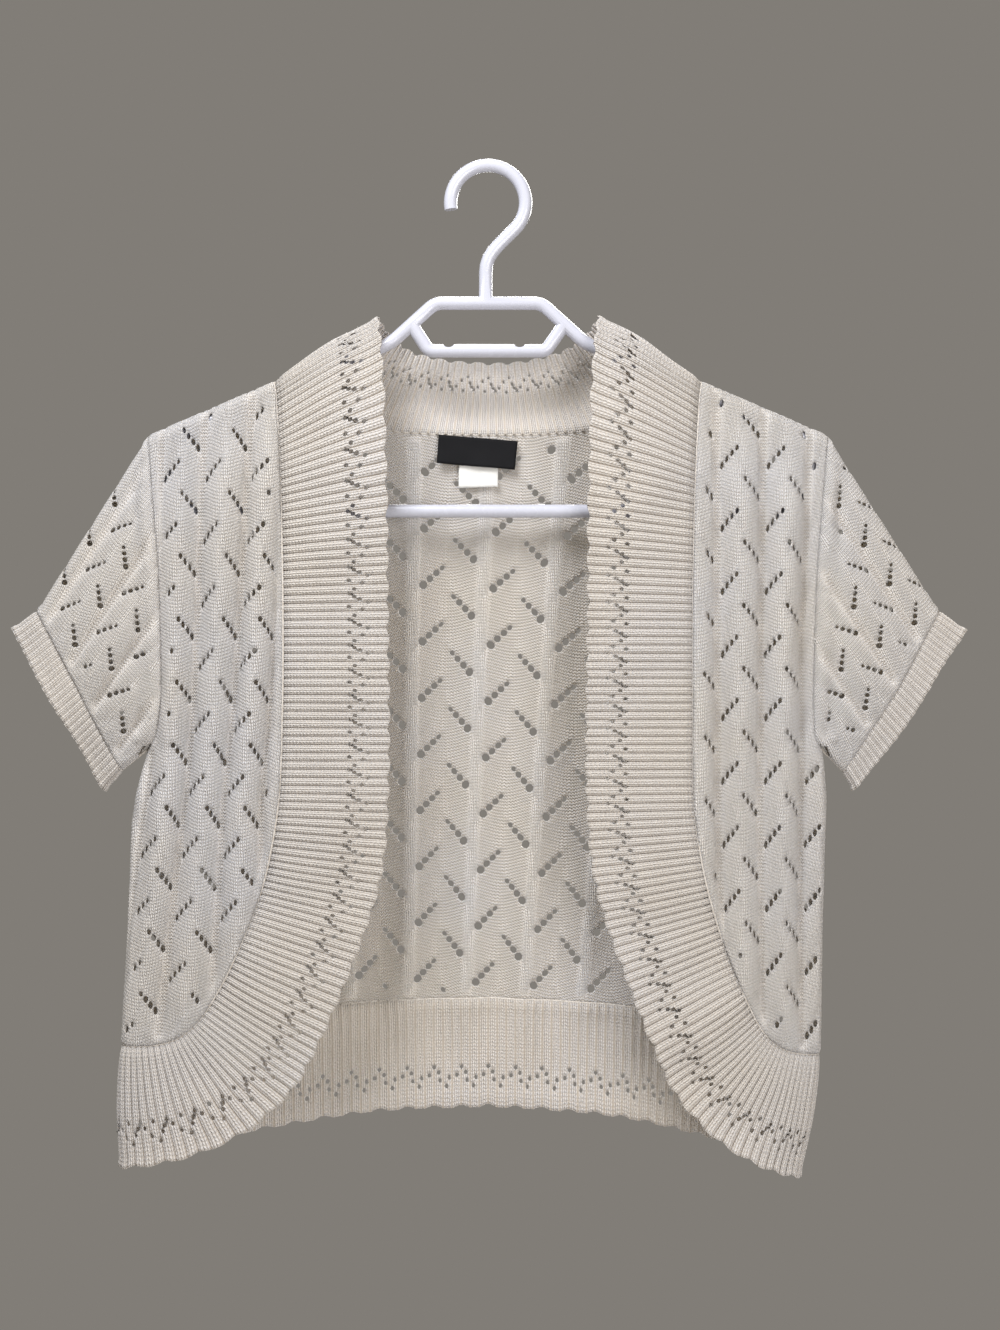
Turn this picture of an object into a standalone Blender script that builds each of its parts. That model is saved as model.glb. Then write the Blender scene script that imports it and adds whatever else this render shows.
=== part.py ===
"""Knitted lace shrug, hung open on a plastic hanger.

The garment hangs flat: its fronts face -Y, its back faces +Y and the hanger
lies in the plane y = 0.  The origin is the inside top of the hanger's hook.
Sizes are in millimetres, and a mesh is scaled to metres when it is made.

A cut piece is drawn flat, in the coordinates (u, v) of the front view, with
its fold allowances laid out beside it.  A placing function then hangs each
flat point in space, and the wall's two faces are offset from there.
"""

import math

import bmesh
import bpy
from mathutils import Vector
from mathutils.geometry import delaunay_2d_cdt

MM = 0.001

# Cloth
WALL = 2.0
SEAM_GAP = 0.3
HALF_GAP = SEAM_GAP / 2
RIB_RAISE = 1.1
FOLD_RADIUS = 5.9
FOLD_ALLOWANCE = FOLD_RADIUS * (math.pi / 2 - 1)
FOLD_ARC = FOLD_RADIUS * math.pi / 2

# Hanger
TUBE_RADIUS = 4.25
TUBE_SIDES = 8
HOOK_RADIUS = 24.0
HOOK_CENTRE_Z = -(HOOK_RADIUS - TUBE_RADIUS)
HOOK_TIP_ANGLE = 190.0
HOOK_END_ANGLE = -42.0
STEM_X = -1.5
ARM_START_X = 66.0
ARM_START_Z = -111.0
ARM_SLOPE = 0.4327
ARM_COS = 1.0 / math.hypot(1.0, ARM_SLOPE)

# Body of the garment, as half widths about x = 0
SHOULDER_SEAM_X = 136.0
SHOULDER_TIP_X = 216.0
UNDERARM_X = 214.0
UNDERARM_Z = -368.0
SIDE_RISE = 0.5
BODY_HALF = 222.0

# z, half width of the body at its side seam
SIDE_LINE = (
    (-640.0, 217.0),
    (-600.0, 220.0),
    (-560.5, 222.5),
    (-534.0, 222.0),
    (-485.0, 221.0),
    (-416.0, 220.5),
    (-400.0, 219.7),
    (-384.0, 217.0),
    (UNDERARM_Z, UNDERARM_X),
)

# z, how far the sides swing to -X as the garment hangs askew
SWING = (
    (-640.0, -19.5),
    (-560.0, -11.0),
    (-485.0, -8.6),
    (-416.0, -6.0),
    (-376.0, -2.5),
    (-330.0, 0.0),
)
RIGHT_SIDE_DROP = 3.0

# z, depth of the front and of the back beyond the fold radius
DEPTH = (
    (-640.0, 15.0, 17.0),
    (-480.0, 16.0, 17.0),
    (-350.0, 13.0, 14.0),
    (-250.0, 10.0, 10.0),
    (-165.0, 8.0, 8.3),
    (-130.0, 5.0, 6.0),
)

# x, z along the armhole laid flat, from the shoulder tip down to the underarm
ARMHOLE = (
    (215.0, -190.0),
    (210.0, -248.0),
    (208.0, -300.0),
    (207.5, -335.0),
    (208.5, -352.0),
    (210.2, -361.5),
    (213.2, -366.8),
)

# scallop, seam x, seam z, edge x, edge y, edge z of the band round the neck
NECK_BAND = (
    (0.0, 0.0, -167.0, 0.0, 36.0, -118.0),
    (2.4, 40.0, -166.0, 30.0, 34.0, -116.5),
    (4.3, 72.0, -162.5, 50.0, 27.0, -112.0),
    (6.2, 102.0, -150.5, 63.0, 17.0, -104.0),
    (7.2, 118.0, -143.0, 67.5, 10.0, -99.5),
    (8.0, 128.5, -137.6, 70.0, 3.5, -96.5),
    (9.0, 136.0, -134.9, 71.0, -4.0, -95.0),
)
SHOULDER_SCALLOP = 9.0

# the same columns, down the front and round to the side seam
FRONT_BAND = (
    (9.0, 136.0, -134.9, 71.0, -4.0, -95.0),
    (10.5, 135.2, -145.5, 69.0, -15.0, -110.0),
    (12.0, 133.5, -168.0, 67.0, -22.0, -136.0),
    (13.8, 132.0, -195.0, 65.5, -24.0, -176.0),
    (15.9, 131.0, -228.0, 64.5, -22.0, -220.0),
    (19.2, 130.0, -280.0, 64.5, -20.0, -279.0),
    (22.9, 130.0, -338.0, 63.5, -20.0, -338.0),
    (27.0, 131.5, -402.0, 64.0, -21.0, -403.0),
    (29.7, 137.0, -440.0, 68.5, -22.0, -449.0),
    (32.0, 145.0, -470.0, 79.5, -23.0, -487.0),
    (34.8, 158.5, -506.0, 97.0, -24.0, -533.0),
    (36.4, 168.0, -526.0, 109.0, -24.0, -560.0),
    (38.0, 178.0, -543.0, 122.0, -23.0, -584.0),
    (39.7, 188.0, -553.0, 148.0, -21.0, -610.0),
    (41.1, 199.0, -558.5, 176.0, -17.0, -626.0),
    (42.4, 212.0, -560.5, 199.0, -11.0, -634.0),
    (43.3, 219.5, -560.5, 212.0, -6.0, -637.0),
    (44.0, 222.5, -560.5, 217.0, 0.0, -638.0),
)
BAND_SCALLOPS = 44

# scallop, seam x, seam z, edge x, edge y, edge z of the back hem band's half
HEM_BAND = (
    (0.0, 0.0, -532.0, 0.0, 25.0, -601.0),
    (4.5, 80.0, -535.5, 79.0, 24.0, -606.0),
    (8.0, 143.0, -543.0, 141.0, 20.0, -617.0),
    (10.7, 190.0, -552.5, 187.0, 13.0, -628.0),
    (12.1, 212.0, -558.0, 208.0, 8.0, -635.0),
    (12.6, 219.5, -560.2, 214.0, 5.0, -637.3),
    (13.0, 222.5, -560.5, 217.0, 0.0, -638.0),
)
HEM_SCALLOPS = 13

RIBS_PER_SCALLOP = 3
SCALLOP_RISE = 2.2
BAND_ROW = 0.66
BAND_BOW = 2.5
BAND_START = 0.3

# Sleeve and cuff on the +X side; the other side is its mirror
CUFF_SEAM_TOP = Vector((288.0, 1.0, -281.6))
CUFF_SEAM_BOTTOM = Vector((231.5, 3.0, -383.0))
CUFF_EDGE_TOP = Vector((304.6, 1.0, -293.8))
CUFF_EDGE_BOTTOM = Vector((241.0, 4.0, -395.5))
CUFF_SEAM_BULGE = 6.0
CUFF_EDGE_BULGE = 8.0
CUFF_RIBS = 56
CUFF_RIB_RAISE = 0.9
SLEEVE_BULGE = 4.0
SLEEVE_GRID = 130.0
ARMHOLE_GAP = 0.35
UNDERARM_TUCK = 3.5
UNDERARM_REACH = 14.0

# Lace: the largest eyelet of each leaf's cluster
EYELET_LONG = 6.1
EYELET_SHORT = 4.7
EYELET_TILT = math.radians(40.0)
LEFT_EYELET = 6.2
RIGHT_EYELET = 6.8
EYELET_MARGIN = 9.0
POINT_MARGIN = 6.0
BACK_PERIOD = 36.6
BACK_FIRST_EYELET_Z = -137.8
BACK_ROW_TILT = 0.05
BACK_PITCH_TOP = 47.9
BACK_PITCH_BOTTOM = 37.4
BACK_DRIFT = -14.0
BACK_TOP_Z = -180.0
BACK_BOTTOM_Z = -530.0
BACK_COLUMNS = 6
BACK_WAVE = 1.5
BACK_WAVE_TOP_Z = -195.0
BACK_SHOWN = 110.0
BACK_MARGIN = 44.0
FRONT_PERIOD = 40.0
FRONT_FIRST_EYELET_Z = {-1: -157.5, 1: -169.0}
FRONT_NARROWING = 0.7
FRONT_BOTTOM_Z = -550.0
FRONT_WAVE = 2.4
FRONT_WAVE_INNER_X = 125.0

# z, |x| of the four lace columns of each front, by side
FRONT_LACE = {
    -1: (
        (-550.0, 142.0, 171.0, 201.0, 228.0),
        (-400.0, 142.0, 165.0, 189.0, 213.0),
        (-300.0, 135.0, 158.0, 185.0, 211.0),
        (-150.0, 124.0, 150.0, 180.0, 207.0),
    ),
    1: (
        (-550.0, 126.0, 154.0, 181.0, 209.0),
        (-391.0, 120.0, 147.0, 175.0, 203.0),
        (-309.0, 118.0, 145.7, 173.4, 199.0),
        (-150.0, 116.0, 145.0, 176.0, 206.0),
    ),
}
SLEEVE_COLUMNS = (34.0, 68.0, 102.0, 136.0)
SLEEVE_PERIOD = 44.0
SLEEVE_CUFF_MARGIN = 13.0
SLEEVE_ARMHOLE_MARGIN = 12.0
SLEEVE_NARROWING = 0.4

# Rows of free points between the eyelets, which keep the flat pieces round
POINT_DROP = 44.0
FRONT_POINT_TOP_Z = -150.0
FRONT_POINT_ROWS = 10
BACK_POINT_TOP_Z = -165.0
BACK_POINT_ROWS = 9
FOLD_MARGIN = FOLD_ARC + 4.0

# Labels at the back neck: corners x, z, from the top left round
BRAND_LABEL = ((-32.0, -166.6), (19.2, -171.0), (17.3, -189.4), (-33.3, -185.0))
CARE_LABEL = ((-19.0, -181.0), (6.4, -183.0), (6.4, -199.0), (-6.0, -202.0), (-19.0, -199.0))
LABEL_WALL = 0.6
CARE_WALL = 0.4

WHITE_KNIT = (0.80, 0.76, 0.70, 1.0)
WHITE_PLASTIC = (0.80, 0.80, 0.86, 1.0)
LABEL_BLACK = (0.02, 0.02, 0.025, 1.0)
LABEL_WHITE = (0.85, 0.85, 0.84, 1.0)


def clear_scene():
    for item in list(bpy.data.objects):
        bpy.data.objects.remove(item, do_unlink=True)


# Curves and tables


def ease(t):
    t = min(max(t, 0.0), 1.0)
    return t * t * (3.0 - 2.0 * t)


def read_table(table, key, column=1):
    """Straight interpolation in a table sorted by its first column."""
    if key <= table[0][0]:
        return table[0][column]
    for low, high in zip(table, table[1:]):
        if key <= high[0]:
            t = (key - low[0]) / (high[0] - low[0])
            return low[column] + (high[column] - low[column]) * t
    return table[-1][column]


def read_curve(rows, key):
    """Smooth (Hermite) interpolation of rows (key, value, value, ...)."""
    last = len(rows) - 1
    index = 0
    while index < last - 1 and key > rows[index + 1][0]:
        index += 1
    low = rows[index]
    high = rows[index + 1]
    span = high[0] - low[0]
    t = (key - low[0]) / span
    values = []
    for column in range(1, len(low)):
        slope_low = row_slope(rows, index, column) * span
        slope_high = row_slope(rows, index + 1, column) * span
        step = high[column] - low[column]
        bend = t * t * (3 - 2 * t)
        start = t * (1 - t) * (1 - t) * slope_low
        end = t * t * (1 - t) * slope_high
        values.append(low[column] + step * bend + start - end)
    return values


def row_slope(rows, index, column):
    before = rows[max(index - 1, 0)]
    after = rows[min(index + 1, len(rows) - 1)]
    return (after[column] - before[column]) / (after[0] - before[0])


# The hung body: flat (u, v) to space


def shoulder_z(x):
    """Height of the cloth's fold over the hanger's arm, at the wall's middle."""
    return ARM_START_Z - (abs(x) - ARM_START_X) * ARM_SLOPE + FOLD_RADIUS / ARM_COS


def side_x(z):
    """Half width at the side seam, running outward above the underarm."""
    if z > UNDERARM_Z:
        return UNDERARM_X + (z - UNDERARM_Z) * SIDE_RISE
    return read_table(SIDE_LINE, z)


def fold_shift(arc):
    """Real distance from a fold's line, and depth, at an arc length from it."""
    if arc >= FOLD_ARC:
        return arc - FOLD_ALLOWANCE, FOLD_RADIUS
    angle = arc / FOLD_RADIUS
    return FOLD_RADIUS * (1 - math.cos(angle)), FOLD_RADIUS * math.sin(angle)


def fold_arc(distance):
    """Arc length from a fold's line, from the real distance in the front view."""
    if distance >= FOLD_RADIUS:
        return distance + FOLD_ALLOWANCE
    return FOLD_RADIUS * math.acos(1 - max(distance, 0.0) / FOLD_RADIUS)


def to_flat(x, z):
    """Front-view point (x >= 0) to the flat piece, opened out at its folds."""
    u = x
    v = z
    drop = (shoulder_z(x) - z) * ARM_COS
    if drop < FOLD_RADIUS:
        opened = fold_arc(drop) - FOLD_ALLOWANCE - drop
        u -= opened * ARM_SLOPE * ARM_COS
        v -= opened * ARM_COS
    inset = side_x(z) - x
    if inset < FOLD_RADIUS:
        u -= fold_arc(inset) - FOLD_ALLOWANCE - inset
    return u, v


def depth_of(x, z, face):
    """Bulge of the front (face -1) or the back (face 1) past the fold radius."""
    column = 1 if face < 0 else 2
    width = side_x(z)
    across = 1 - min(abs(x) / width, 1.0) ** 2.5
    drop = ease((shoulder_z(x) - z) / 70.0)
    return read_table(DEPTH, z, column) * across * drop


def back_column(index, z):
    """x of the back's lace column, drawn together by the hem band."""
    t = (BACK_TOP_Z - z) / (BACK_TOP_Z - BACK_BOTTOM_Z)
    pitch = BACK_PITCH_TOP + (BACK_PITCH_BOTTOM - BACK_PITCH_TOP) * t
    return index * pitch + BACK_DRIFT * t


def front_columns(side, z):
    """|x| of a front's lace columns at a height."""
    table = FRONT_LACE[side]
    return [read_table(table, z, column) for column in range(1, len(table[0]))]


def wave_of(x, z, face):
    """Soft folds between the lace columns."""
    if face < 0:
        columns = front_columns(-1 if x < 0 else 1, z)
        index = max(0, min(len(columns) - 2, sum(abs(x) > c for c in columns) - 1))
        phase = (abs(x) - columns[index]) / (columns[index + 1] - columns[index])
        height = FRONT_WAVE * ease((abs(x) - FRONT_WAVE_INNER_X) / 12.0)
    else:
        phase = (x - back_column(0, z)) / (back_column(1, z) - back_column(0, z))
        height = BACK_WAVE * ease((BACK_WAVE_TOP_Z - z) / 50.0)
    fade = ease((shoulder_z(x) - z) / 60.0) * ease((z + 560.0) / 40.0)
    fade *= ease((side_x(z) - abs(x)) / 20.0)
    return -height * math.cos(2 * math.pi * phase) * fade


def swing(point):
    """The lean of the whole garment on its hanger."""
    share = abs(point.x) / BODY_HALF
    across = read_table(SWING, point.z) * min(share, 1.15) ** 3
    low = ease((-330.0 - point.z) / 300.0)
    return Vector((point.x + across, point.y, point.z - RIGHT_SIDE_DROP * low * point.x / BODY_HALF))


def body_middle(u, v, face):
    """Middle of the body's wall at a flat point."""
    side = -1.0 if u < 0 else 1.0
    x = abs(u)
    z = v
    arc = (shoulder_z(x) - z) * ARM_COS + FOLD_ALLOWANCE
    distance, depth_top = fold_shift(arc)
    moved = distance - (arc - FOLD_ALLOWANCE)
    x -= moved * ARM_SLOPE * ARM_COS
    z -= moved * ARM_COS
    arc = side_x(z) - x + FOLD_ALLOWANCE
    distance, depth_side = fold_shift(arc)
    x -= distance - (arc - FOLD_ALLOWANCE)
    fold = depth_top * depth_side / FOLD_RADIUS
    y = face * (fold + depth_of(x, z, face) + wave_of(side * x, z, face))
    return swing(Vector((side * x, y, z)))


def normal_at(place, u, v, face):
    """Outward unit normal of a placing function."""
    step = 0.05
    along = place(u + step, v, face) - place(u - step, v, face)
    down = place(u, v + step, face) - place(u, v - step, face)
    return (along.cross(down) * -face).normalized()


def body_point(u, v, face, offset):
    return body_middle(u, v, face) + normal_at(body_middle, u, v, face) * offset


# Flat drawing


def inset_loop(loop, distance):
    """A closed flat loop moved inward; its points run anticlockwise."""
    moved = []
    count = len(loop)
    for index, point in enumerate(loop):
        before = (Vector(point) - Vector(loop[index - 1])).normalized()
        after = (Vector(loop[(index + 1) % count]) - Vector(point)).normalized()
        inward = Vector((-before.y - after.y, before.x + after.x))
        mitre = max(0.5, inward.length_squared / 2)
        moved.append(Vector(point) + inward.normalized() * distance / math.sqrt(mitre / 2))
    return moved


def is_inside(loop, point):
    inside = False
    for a, b in zip(loop, loop[1:] + loop[:1]):
        if (a[1] > point[1]) != (b[1] > point[1]):
            if point[0] < a[0] + (b[0] - a[0]) * (point[1] - a[1]) / (b[1] - a[1]):
                inside = not inside
    return inside


def distance_to_loop(loop, point):
    best = 1e9
    target = Vector(point)
    for a, b in zip(loop, loop[1:] + loop[:1]):
        start = Vector(a)
        run = Vector(b) - start
        t = min(max((target - start).dot(run) / run.length_squared, 0.0), 1.0)
        best = min(best, (target - start - run * t).length)
    return best


def eyelet(u, v, lean, stretch=1.0):
    """Four-sided eyelet: lean -1 slants like a backslash, 1 like a slash."""
    corners = ((-0.5, -0.35), (0.35, -0.5), (0.5, 0.35), (-0.35, 0.5))
    turn = EYELET_TILT * lean
    loop = []
    for a, b in corners:
        across = a * EYELET_LONG
        up = b * EYELET_SHORT
        x = across * math.cos(turn) - up * math.sin(turn)
        y = across * math.sin(turn) + up * math.cos(turn)
        loop.append(Vector((u + x * stretch, v + y)))
    return loop


def column_eyelets(column_at, top, bottom, period, narrowing=1.0, tilt=0.0):
    """Eyelet centres down one lace column, left and right by turns."""
    z = top
    left = True
    while z > bottom:
        shift = (-LEFT_EYELET if left else RIGHT_EYELET) * narrowing
        x = column_at(z) + shift
        yield x, z - tilt * x, (-1 if left else 1)
        z -= period / 2
        left = not left


def keep_eyelets(outline, centres, margin):
    kept = []
    for u, v, lean in centres:
        if is_inside(outline, (u, v)) and distance_to_loop(outline, (u, v)) > margin:
            kept.append((u, v, lean))
    return kept


def keep_points(outline, points, eyelets, margin):
    kept = []
    for u, v in points:
        if not is_inside(outline, (u, v)):
            continue
        if distance_to_loop(outline, (u, v)) < margin:
            continue
        if all(math.hypot(u - e[0], v - e[1]) > POINT_MARGIN for e in eyelets):
            kept.append((u, v))
    return kept


# Solids


def make_material(name, colour, roughness):
    material = bpy.data.materials.new(name)
    material.use_nodes = True
    shader = material.node_tree.nodes["Principled BSDF"]
    shader.inputs["Base Color"].default_value = colour
    shader.inputs["Roughness"].default_value = roughness
    shader.inputs["Metallic"].default_value = 0.0
    return material


def add_object(name, bm, colour, roughness):
    bmesh.ops.recalc_face_normals(bm, faces=bm.faces[:])
    for vert in bm.verts:
        vert.co *= MM
    mesh = bpy.data.meshes.new(name)
    bm.to_mesh(mesh)
    bm.free()
    mesh.shade_smooth()
    mesh.set_sharp_from_angle(angle=math.radians(45))
    mesh.materials.append(make_material(name, colour, roughness))
    item = bpy.data.objects.new(name, mesh)
    bpy.context.collection.objects.link(item)
    return item


def cut_sheet(name, outline, holes, points, creases, place, colour, roughness):
    """A flat piece with holes, hung as a closed wall.

    creases are flat lines that the triangles follow, and place(u, v, layer)
    gives the point of the inner (0) or outer (1) face.
    """
    flat = [Vector(point) for point in outline]
    edges = [(i, (i + 1) % len(flat)) for i in range(len(flat))]
    for hole in holes:
        first = len(flat)
        flat += hole
        edges += [(first + i, first + (i + 1) % len(hole)) for i in range(len(hole))]
    flat += [Vector(point) for point in points]
    for crease in creases:
        first = len(flat)
        flat += [Vector(point) for point in crease]
        edges += [(first + i, first + i + 1) for i in range(len(crease) - 1)]
    drawn, _, triangles, *_ = delaunay_2d_cdt(flat, edges, [], 0, 1e-6)
    centres = [sum(hole, Vector((0.0, 0.0))) / len(hole) for hole in holes]
    border = [tuple(point) for point in outline]
    kept = []
    for triangle in triangles:
        middle = sum((drawn[i] for i in triangle), Vector((0.0, 0.0))) / 3
        near = [h for h, c in zip(holes, centres) if (c - middle).length < EYELET_LONG]
        if is_inside(border, middle) and not any(is_inside(hole, middle) for hole in near):
            kept.append(triangle)
    bm = bmesh.new()
    layers = []
    used = sorted({i for triangle in kept for i in triangle})
    for layer in (0, 1):
        layers.append({i: bm.verts.new(place(drawn[i].x, drawn[i].y, layer)) for i in used})
    inner, outer = layers
    rims = {}
    for a, b, c in kept:
        bm.faces.new((outer[a], outer[b], outer[c]))
        bm.faces.new((inner[c], inner[b], inner[a]))
        for pair in ((a, b), (b, c), (c, a)):
            key = tuple(sorted(pair))
            rims[key] = None if key in rims else pair
    for pair in rims.values():
        if pair:
            a, b = pair
            bm.faces.new((outer[b], outer[a], inner[a], inner[b]))
    return add_object(name, bm, colour, roughness)


# Seams shared by neighbouring pieces


def seam_rows(table):
    """Band rows with their seam point opened flat: key, u, v, edge x, y, z."""
    return [(row[0],) + to_flat(row[1], row[2]) + row[3:] for row in table]


def armhole_curve():
    """Flat points down the armhole, from the shoulder tip to the underarm."""
    ends = (SHOULDER_TIP_X, shoulder_z(SHOULDER_TIP_X)), (UNDERARM_X, UNDERARM_Z)
    points = [to_flat(*ends[0])] + list(ARMHOLE) + [to_flat(*ends[1])]
    rows = [(0.0,) + points[0]]
    for before, after in zip(points, points[1:]):
        rows.append((rows[-1][0] + math.dist(before, after),) + tuple(after))
    return rows


def armhole_stations(total):
    """Arc lengths shared by the body and the sleeve along the armhole."""
    start = [0.0, FOLD_ARC / 2, FOLD_ARC]
    middle = 9
    run = total - 2 * FOLD_ARC
    inner = [FOLD_ARC + run * i / middle for i in range(1, middle)]
    return start + inner + [total - arc for arc in reversed(start)]


def side_points():
    """Flat points of the side seam between the underarm and the band."""
    return [to_flat(side_x(z), z) for z in (-416.0, -460.0, -500.0, -534.0)]


def half_steps(first, last):
    return [first + i / 2 for i in range(int(round((last - first) * 2)) + 1)]


def mirror(points):
    return [(-u, v) for u, v in reversed(points)]


# Pieces of the body


def fold_creases():
    """Flat lines beside the shoulder and side folds, so they come out round."""
    lines = []
    for arc in (FOLD_ARC / 2, FOLD_ARC):
        opened = FOLD_ALLOWANCE - arc
        line = []
        for share in (0.03, 0.2, 0.4, 0.6, 0.8, 0.96):
            x = SHOULDER_SEAM_X + (SHOULDER_TIP_X - SHOULDER_SEAM_X) * share
            shift_x = opened * ARM_SLOPE * ARM_COS
            line.append((x + shift_x, shoulder_z(x) + opened * ARM_COS))
        lines.append(line)
        lines.append([(side_x(z) + opened, z) for z in (-378.0, -400.0, -430.0, -460.0, -500.0, -534.0, -554.0)])
    return lines


def mirror_lines(lines):
    return [mirror(line) for line in lines]


def front_outline():
    """Anticlockwise for u > 0: shoulder, band seam down, side up, armhole up."""
    rows = seam_rows(FRONT_BAND)
    seam = [tuple(read_curve(rows, t)[:2]) for t in half_steps(SHOULDER_SCALLOP, BAND_SCALLOPS)]
    curve = armhole_curve()
    stations = armhole_stations(curve[-1][0])
    armhole = [tuple(read_curve(curve, arc)) for arc in stations]
    return seam + side_points()[::-1] + armhole[::-1]


def build_front(name, side):
    outline = front_outline()
    centres = []
    for index in range(len(front_columns(side, 0.0))):
        column = column_eyelets(
            lambda z, i=index: front_columns(side, z)[i],
            FRONT_FIRST_EYELET_Z[side],
            FRONT_BOTTOM_Z,
            FRONT_PERIOD,
            FRONT_NARROWING,
        )
        centres += column
    centres = keep_eyelets(outline, centres, EYELET_MARGIN)
    grid = []
    for row in range(FRONT_POINT_ROWS):
        z = FRONT_POINT_TOP_Z - POINT_DROP * row
        columns = front_columns(side, z)
        middles = [(a + b) / 2 for a, b in zip(columns, columns[1:])]
        grid += [(x, z) for x in columns + middles]
    points = keep_points(outline, grid, centres, FOLD_MARGIN)
    creases = fold_creases()
    if side < 0:
        creases = mirror_lines(creases)
        outline = mirror(outline)
        centres = [(-u, v, -lean) for u, v, lean in centres]
        points = mirror(points)
    holes = [eyelet(*centre, FRONT_NARROWING) for centre in centres]

    def place(u, v, layer):
        return body_point(u, v, -1, WALL * (layer - 0.5))

    edge = inset_loop(outline, HALF_GAP)
    cut_sheet(name, edge, holes, points, creases, place, WHITE_KNIT, 0.9)
    return len(holes)


def back_outline():
    """Anticlockwise: left shoulder down to the hem, and up the right."""
    neck_rows = seam_rows(NECK_BAND)
    neck = [tuple(read_curve(neck_rows, t)[:2]) for t in half_steps(0, SHOULDER_SCALLOP)]
    hem_rows = seam_rows(HEM_BAND)
    hem = [tuple(read_curve(hem_rows, t)[:2]) for t in half_steps(0, HEM_SCALLOPS)]
    curve = armhole_curve()
    armhole = [tuple(read_curve(curve, arc)) for arc in armhole_stations(curve[-1][0])]
    right = hem + side_points()[::-1] + armhole[::-1] + neck[::-1]
    return right + mirror(right[1:-1])


def build_back():
    outline = back_outline()
    centres = []
    for index in range(-BACK_COLUMNS, BACK_COLUMNS + 1):
        column = column_eyelets(
            lambda z, i=index: back_column(i, z),
            BACK_FIRST_EYELET_Z,
            BACK_BOTTOM_Z,
            BACK_PERIOD,
            tilt=BACK_ROW_TILT,
        )
        centres += column
    shown = [c for c in centres if abs(c[0]) < BACK_SHOWN]
    hidden = [c for c in centres if abs(c[0]) >= BACK_SHOWN]
    centres = keep_eyelets(outline, shown, EYELET_MARGIN)
    centres += keep_eyelets(outline, hidden, BACK_MARGIN)
    grid = []
    for half in range(-2 * BACK_COLUMNS, 2 * BACK_COLUMNS + 1):
        for row in range(BACK_POINT_ROWS):
            z = BACK_POINT_TOP_Z - POINT_DROP * row
            grid.append((back_column(half / 2, z), z))
    points = keep_points(outline, grid, centres, FOLD_MARGIN)
    creases = fold_creases() + mirror_lines(fold_creases())
    holes = [eyelet(*centre) for centre in centres]

    def place(u, v, layer):
        return body_point(u, v, 1, WALL * (layer - 0.5))

    edge = inset_loop(outline, HALF_GAP)
    cut_sheet("back_panel", edge, holes, points, creases, place, WHITE_KNIT, 0.9)
    return len(holes)


# Ribbed bands


def band_section(rows, key, side, face):
    """Seam point, seam normal and edge point of a band at one scallop key."""
    u, v, edge_x, edge_y, edge_z = read_curve(rows, key)
    seam = body_middle(side * u, v, face)
    normal = normal_at(body_middle, side * u, v, face)
    return seam, normal, swing(Vector((side * edge_x, edge_y, edge_z)))


def chord(sections, position):
    """Straight interpolation between neighbouring sections."""
    index = min(int(position), len(sections) - 2)
    t = position - index
    low = sections[index]
    high = sections[index + 1]
    return [a.lerp(b, t) for a, b in zip(low, high)]


def beyond_seam(section):
    """The section's twin on the other face of the body, across the side seam."""
    return [Vector((part.x, -part.y, part.z)) for part in section]


def band_solid(name, sections, half_per_scallop=2):
    """A ribbed strip with a scalloped edge.

    sections hold (seam, seam normal, edge) at each half scallop.
    """
    count = len(sections) - 1
    edge_normals = []
    for index, (seam, normal, edge) in enumerate(sections):
        before = sections[index - 1] if index > 0 else beyond_seam(sections[1])
        after = sections[index + 1] if index < count else beyond_seam(sections[-2])
        run = (after[0] + after[2]) - (before[0] + before[2])
        across = run.cross(edge - seam).normalized()
        edge_normals.append(across if across.dot(normal) > 0 else -across)
    full = [section + (edge_normals[i],) for i, section in enumerate(sections)]
    columns = RIBS_PER_SCALLOP * 2

    def strip_point(position, row, offset):
        seam, normal, edge, edge_normal = chord(full, position)
        width = (edge - seam).length
        phase = (position / half_per_scallop) % 1.0
        rise = SCALLOP_RISE * math.sin(math.pi * phase) if row == 1.0 else 0.0
        share = row if row > 0 else BAND_START / width
        facing = normal.lerp(edge_normal, ease(row / BAND_ROW)).normalized()
        bow = BAND_BOW * 4 * share * (1 - share)
        along = (edge - seam).normalized()
        return seam + along * (width * share + rise) + facing * (offset + bow)

    bm = bmesh.new()
    rows = (0.0, BAND_ROW, 1.0)
    outer_count = count * columns // half_per_scallop
    end_trim = HALF_GAP / (sections[0][0] - sections[1][0]).length
    outer = []
    for step in range(outer_count + 1):
        position = step * half_per_scallop / columns
        position = min(max(position, end_trim), count - end_trim)
        lift = RIB_RAISE if step % 2 else 0.0
        outer.append([bm.verts.new(strip_point(position, row, WALL / 2 + lift)) for row in rows])
    inner = []
    for step in range(count + 1):
        position = min(max(step, end_trim), count - end_trim)
        inner.append([bm.verts.new(strip_point(position, row, -WALL / 2)) for row in rows])
    last = len(rows) - 1
    for grid in (outer, inner):
        for a, b in zip(grid, grid[1:]):
            for i in range(last):
                face = (a[i], a[i + 1], b[i + 1], b[i])
                bm.faces.new(face if grid is outer else face[::-1])
    ratio = columns // half_per_scallop
    for i in (0, last):
        for step in range(count):
            near = inner[step][i]
            far = inner[step + 1][i]
            rim = [outer[step * ratio + j][i] for j in range(ratio + 1)]
            middle = ratio // 2 + 1
            for j in range(middle):
                bm.faces.new((near, rim[j], rim[j + 1]))
            bm.faces.new((near, rim[middle], far))
            for j in range(middle, ratio):
                bm.faces.new((far, rim[j], rim[j + 1]))
    for end in (0, -1):
        for i in range(last):
            bm.faces.new((outer[end][i], outer[end][i + 1], inner[end][i + 1], inner[end][i]))
    return add_object(name, bm, WHITE_KNIT, 0.9)


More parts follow.
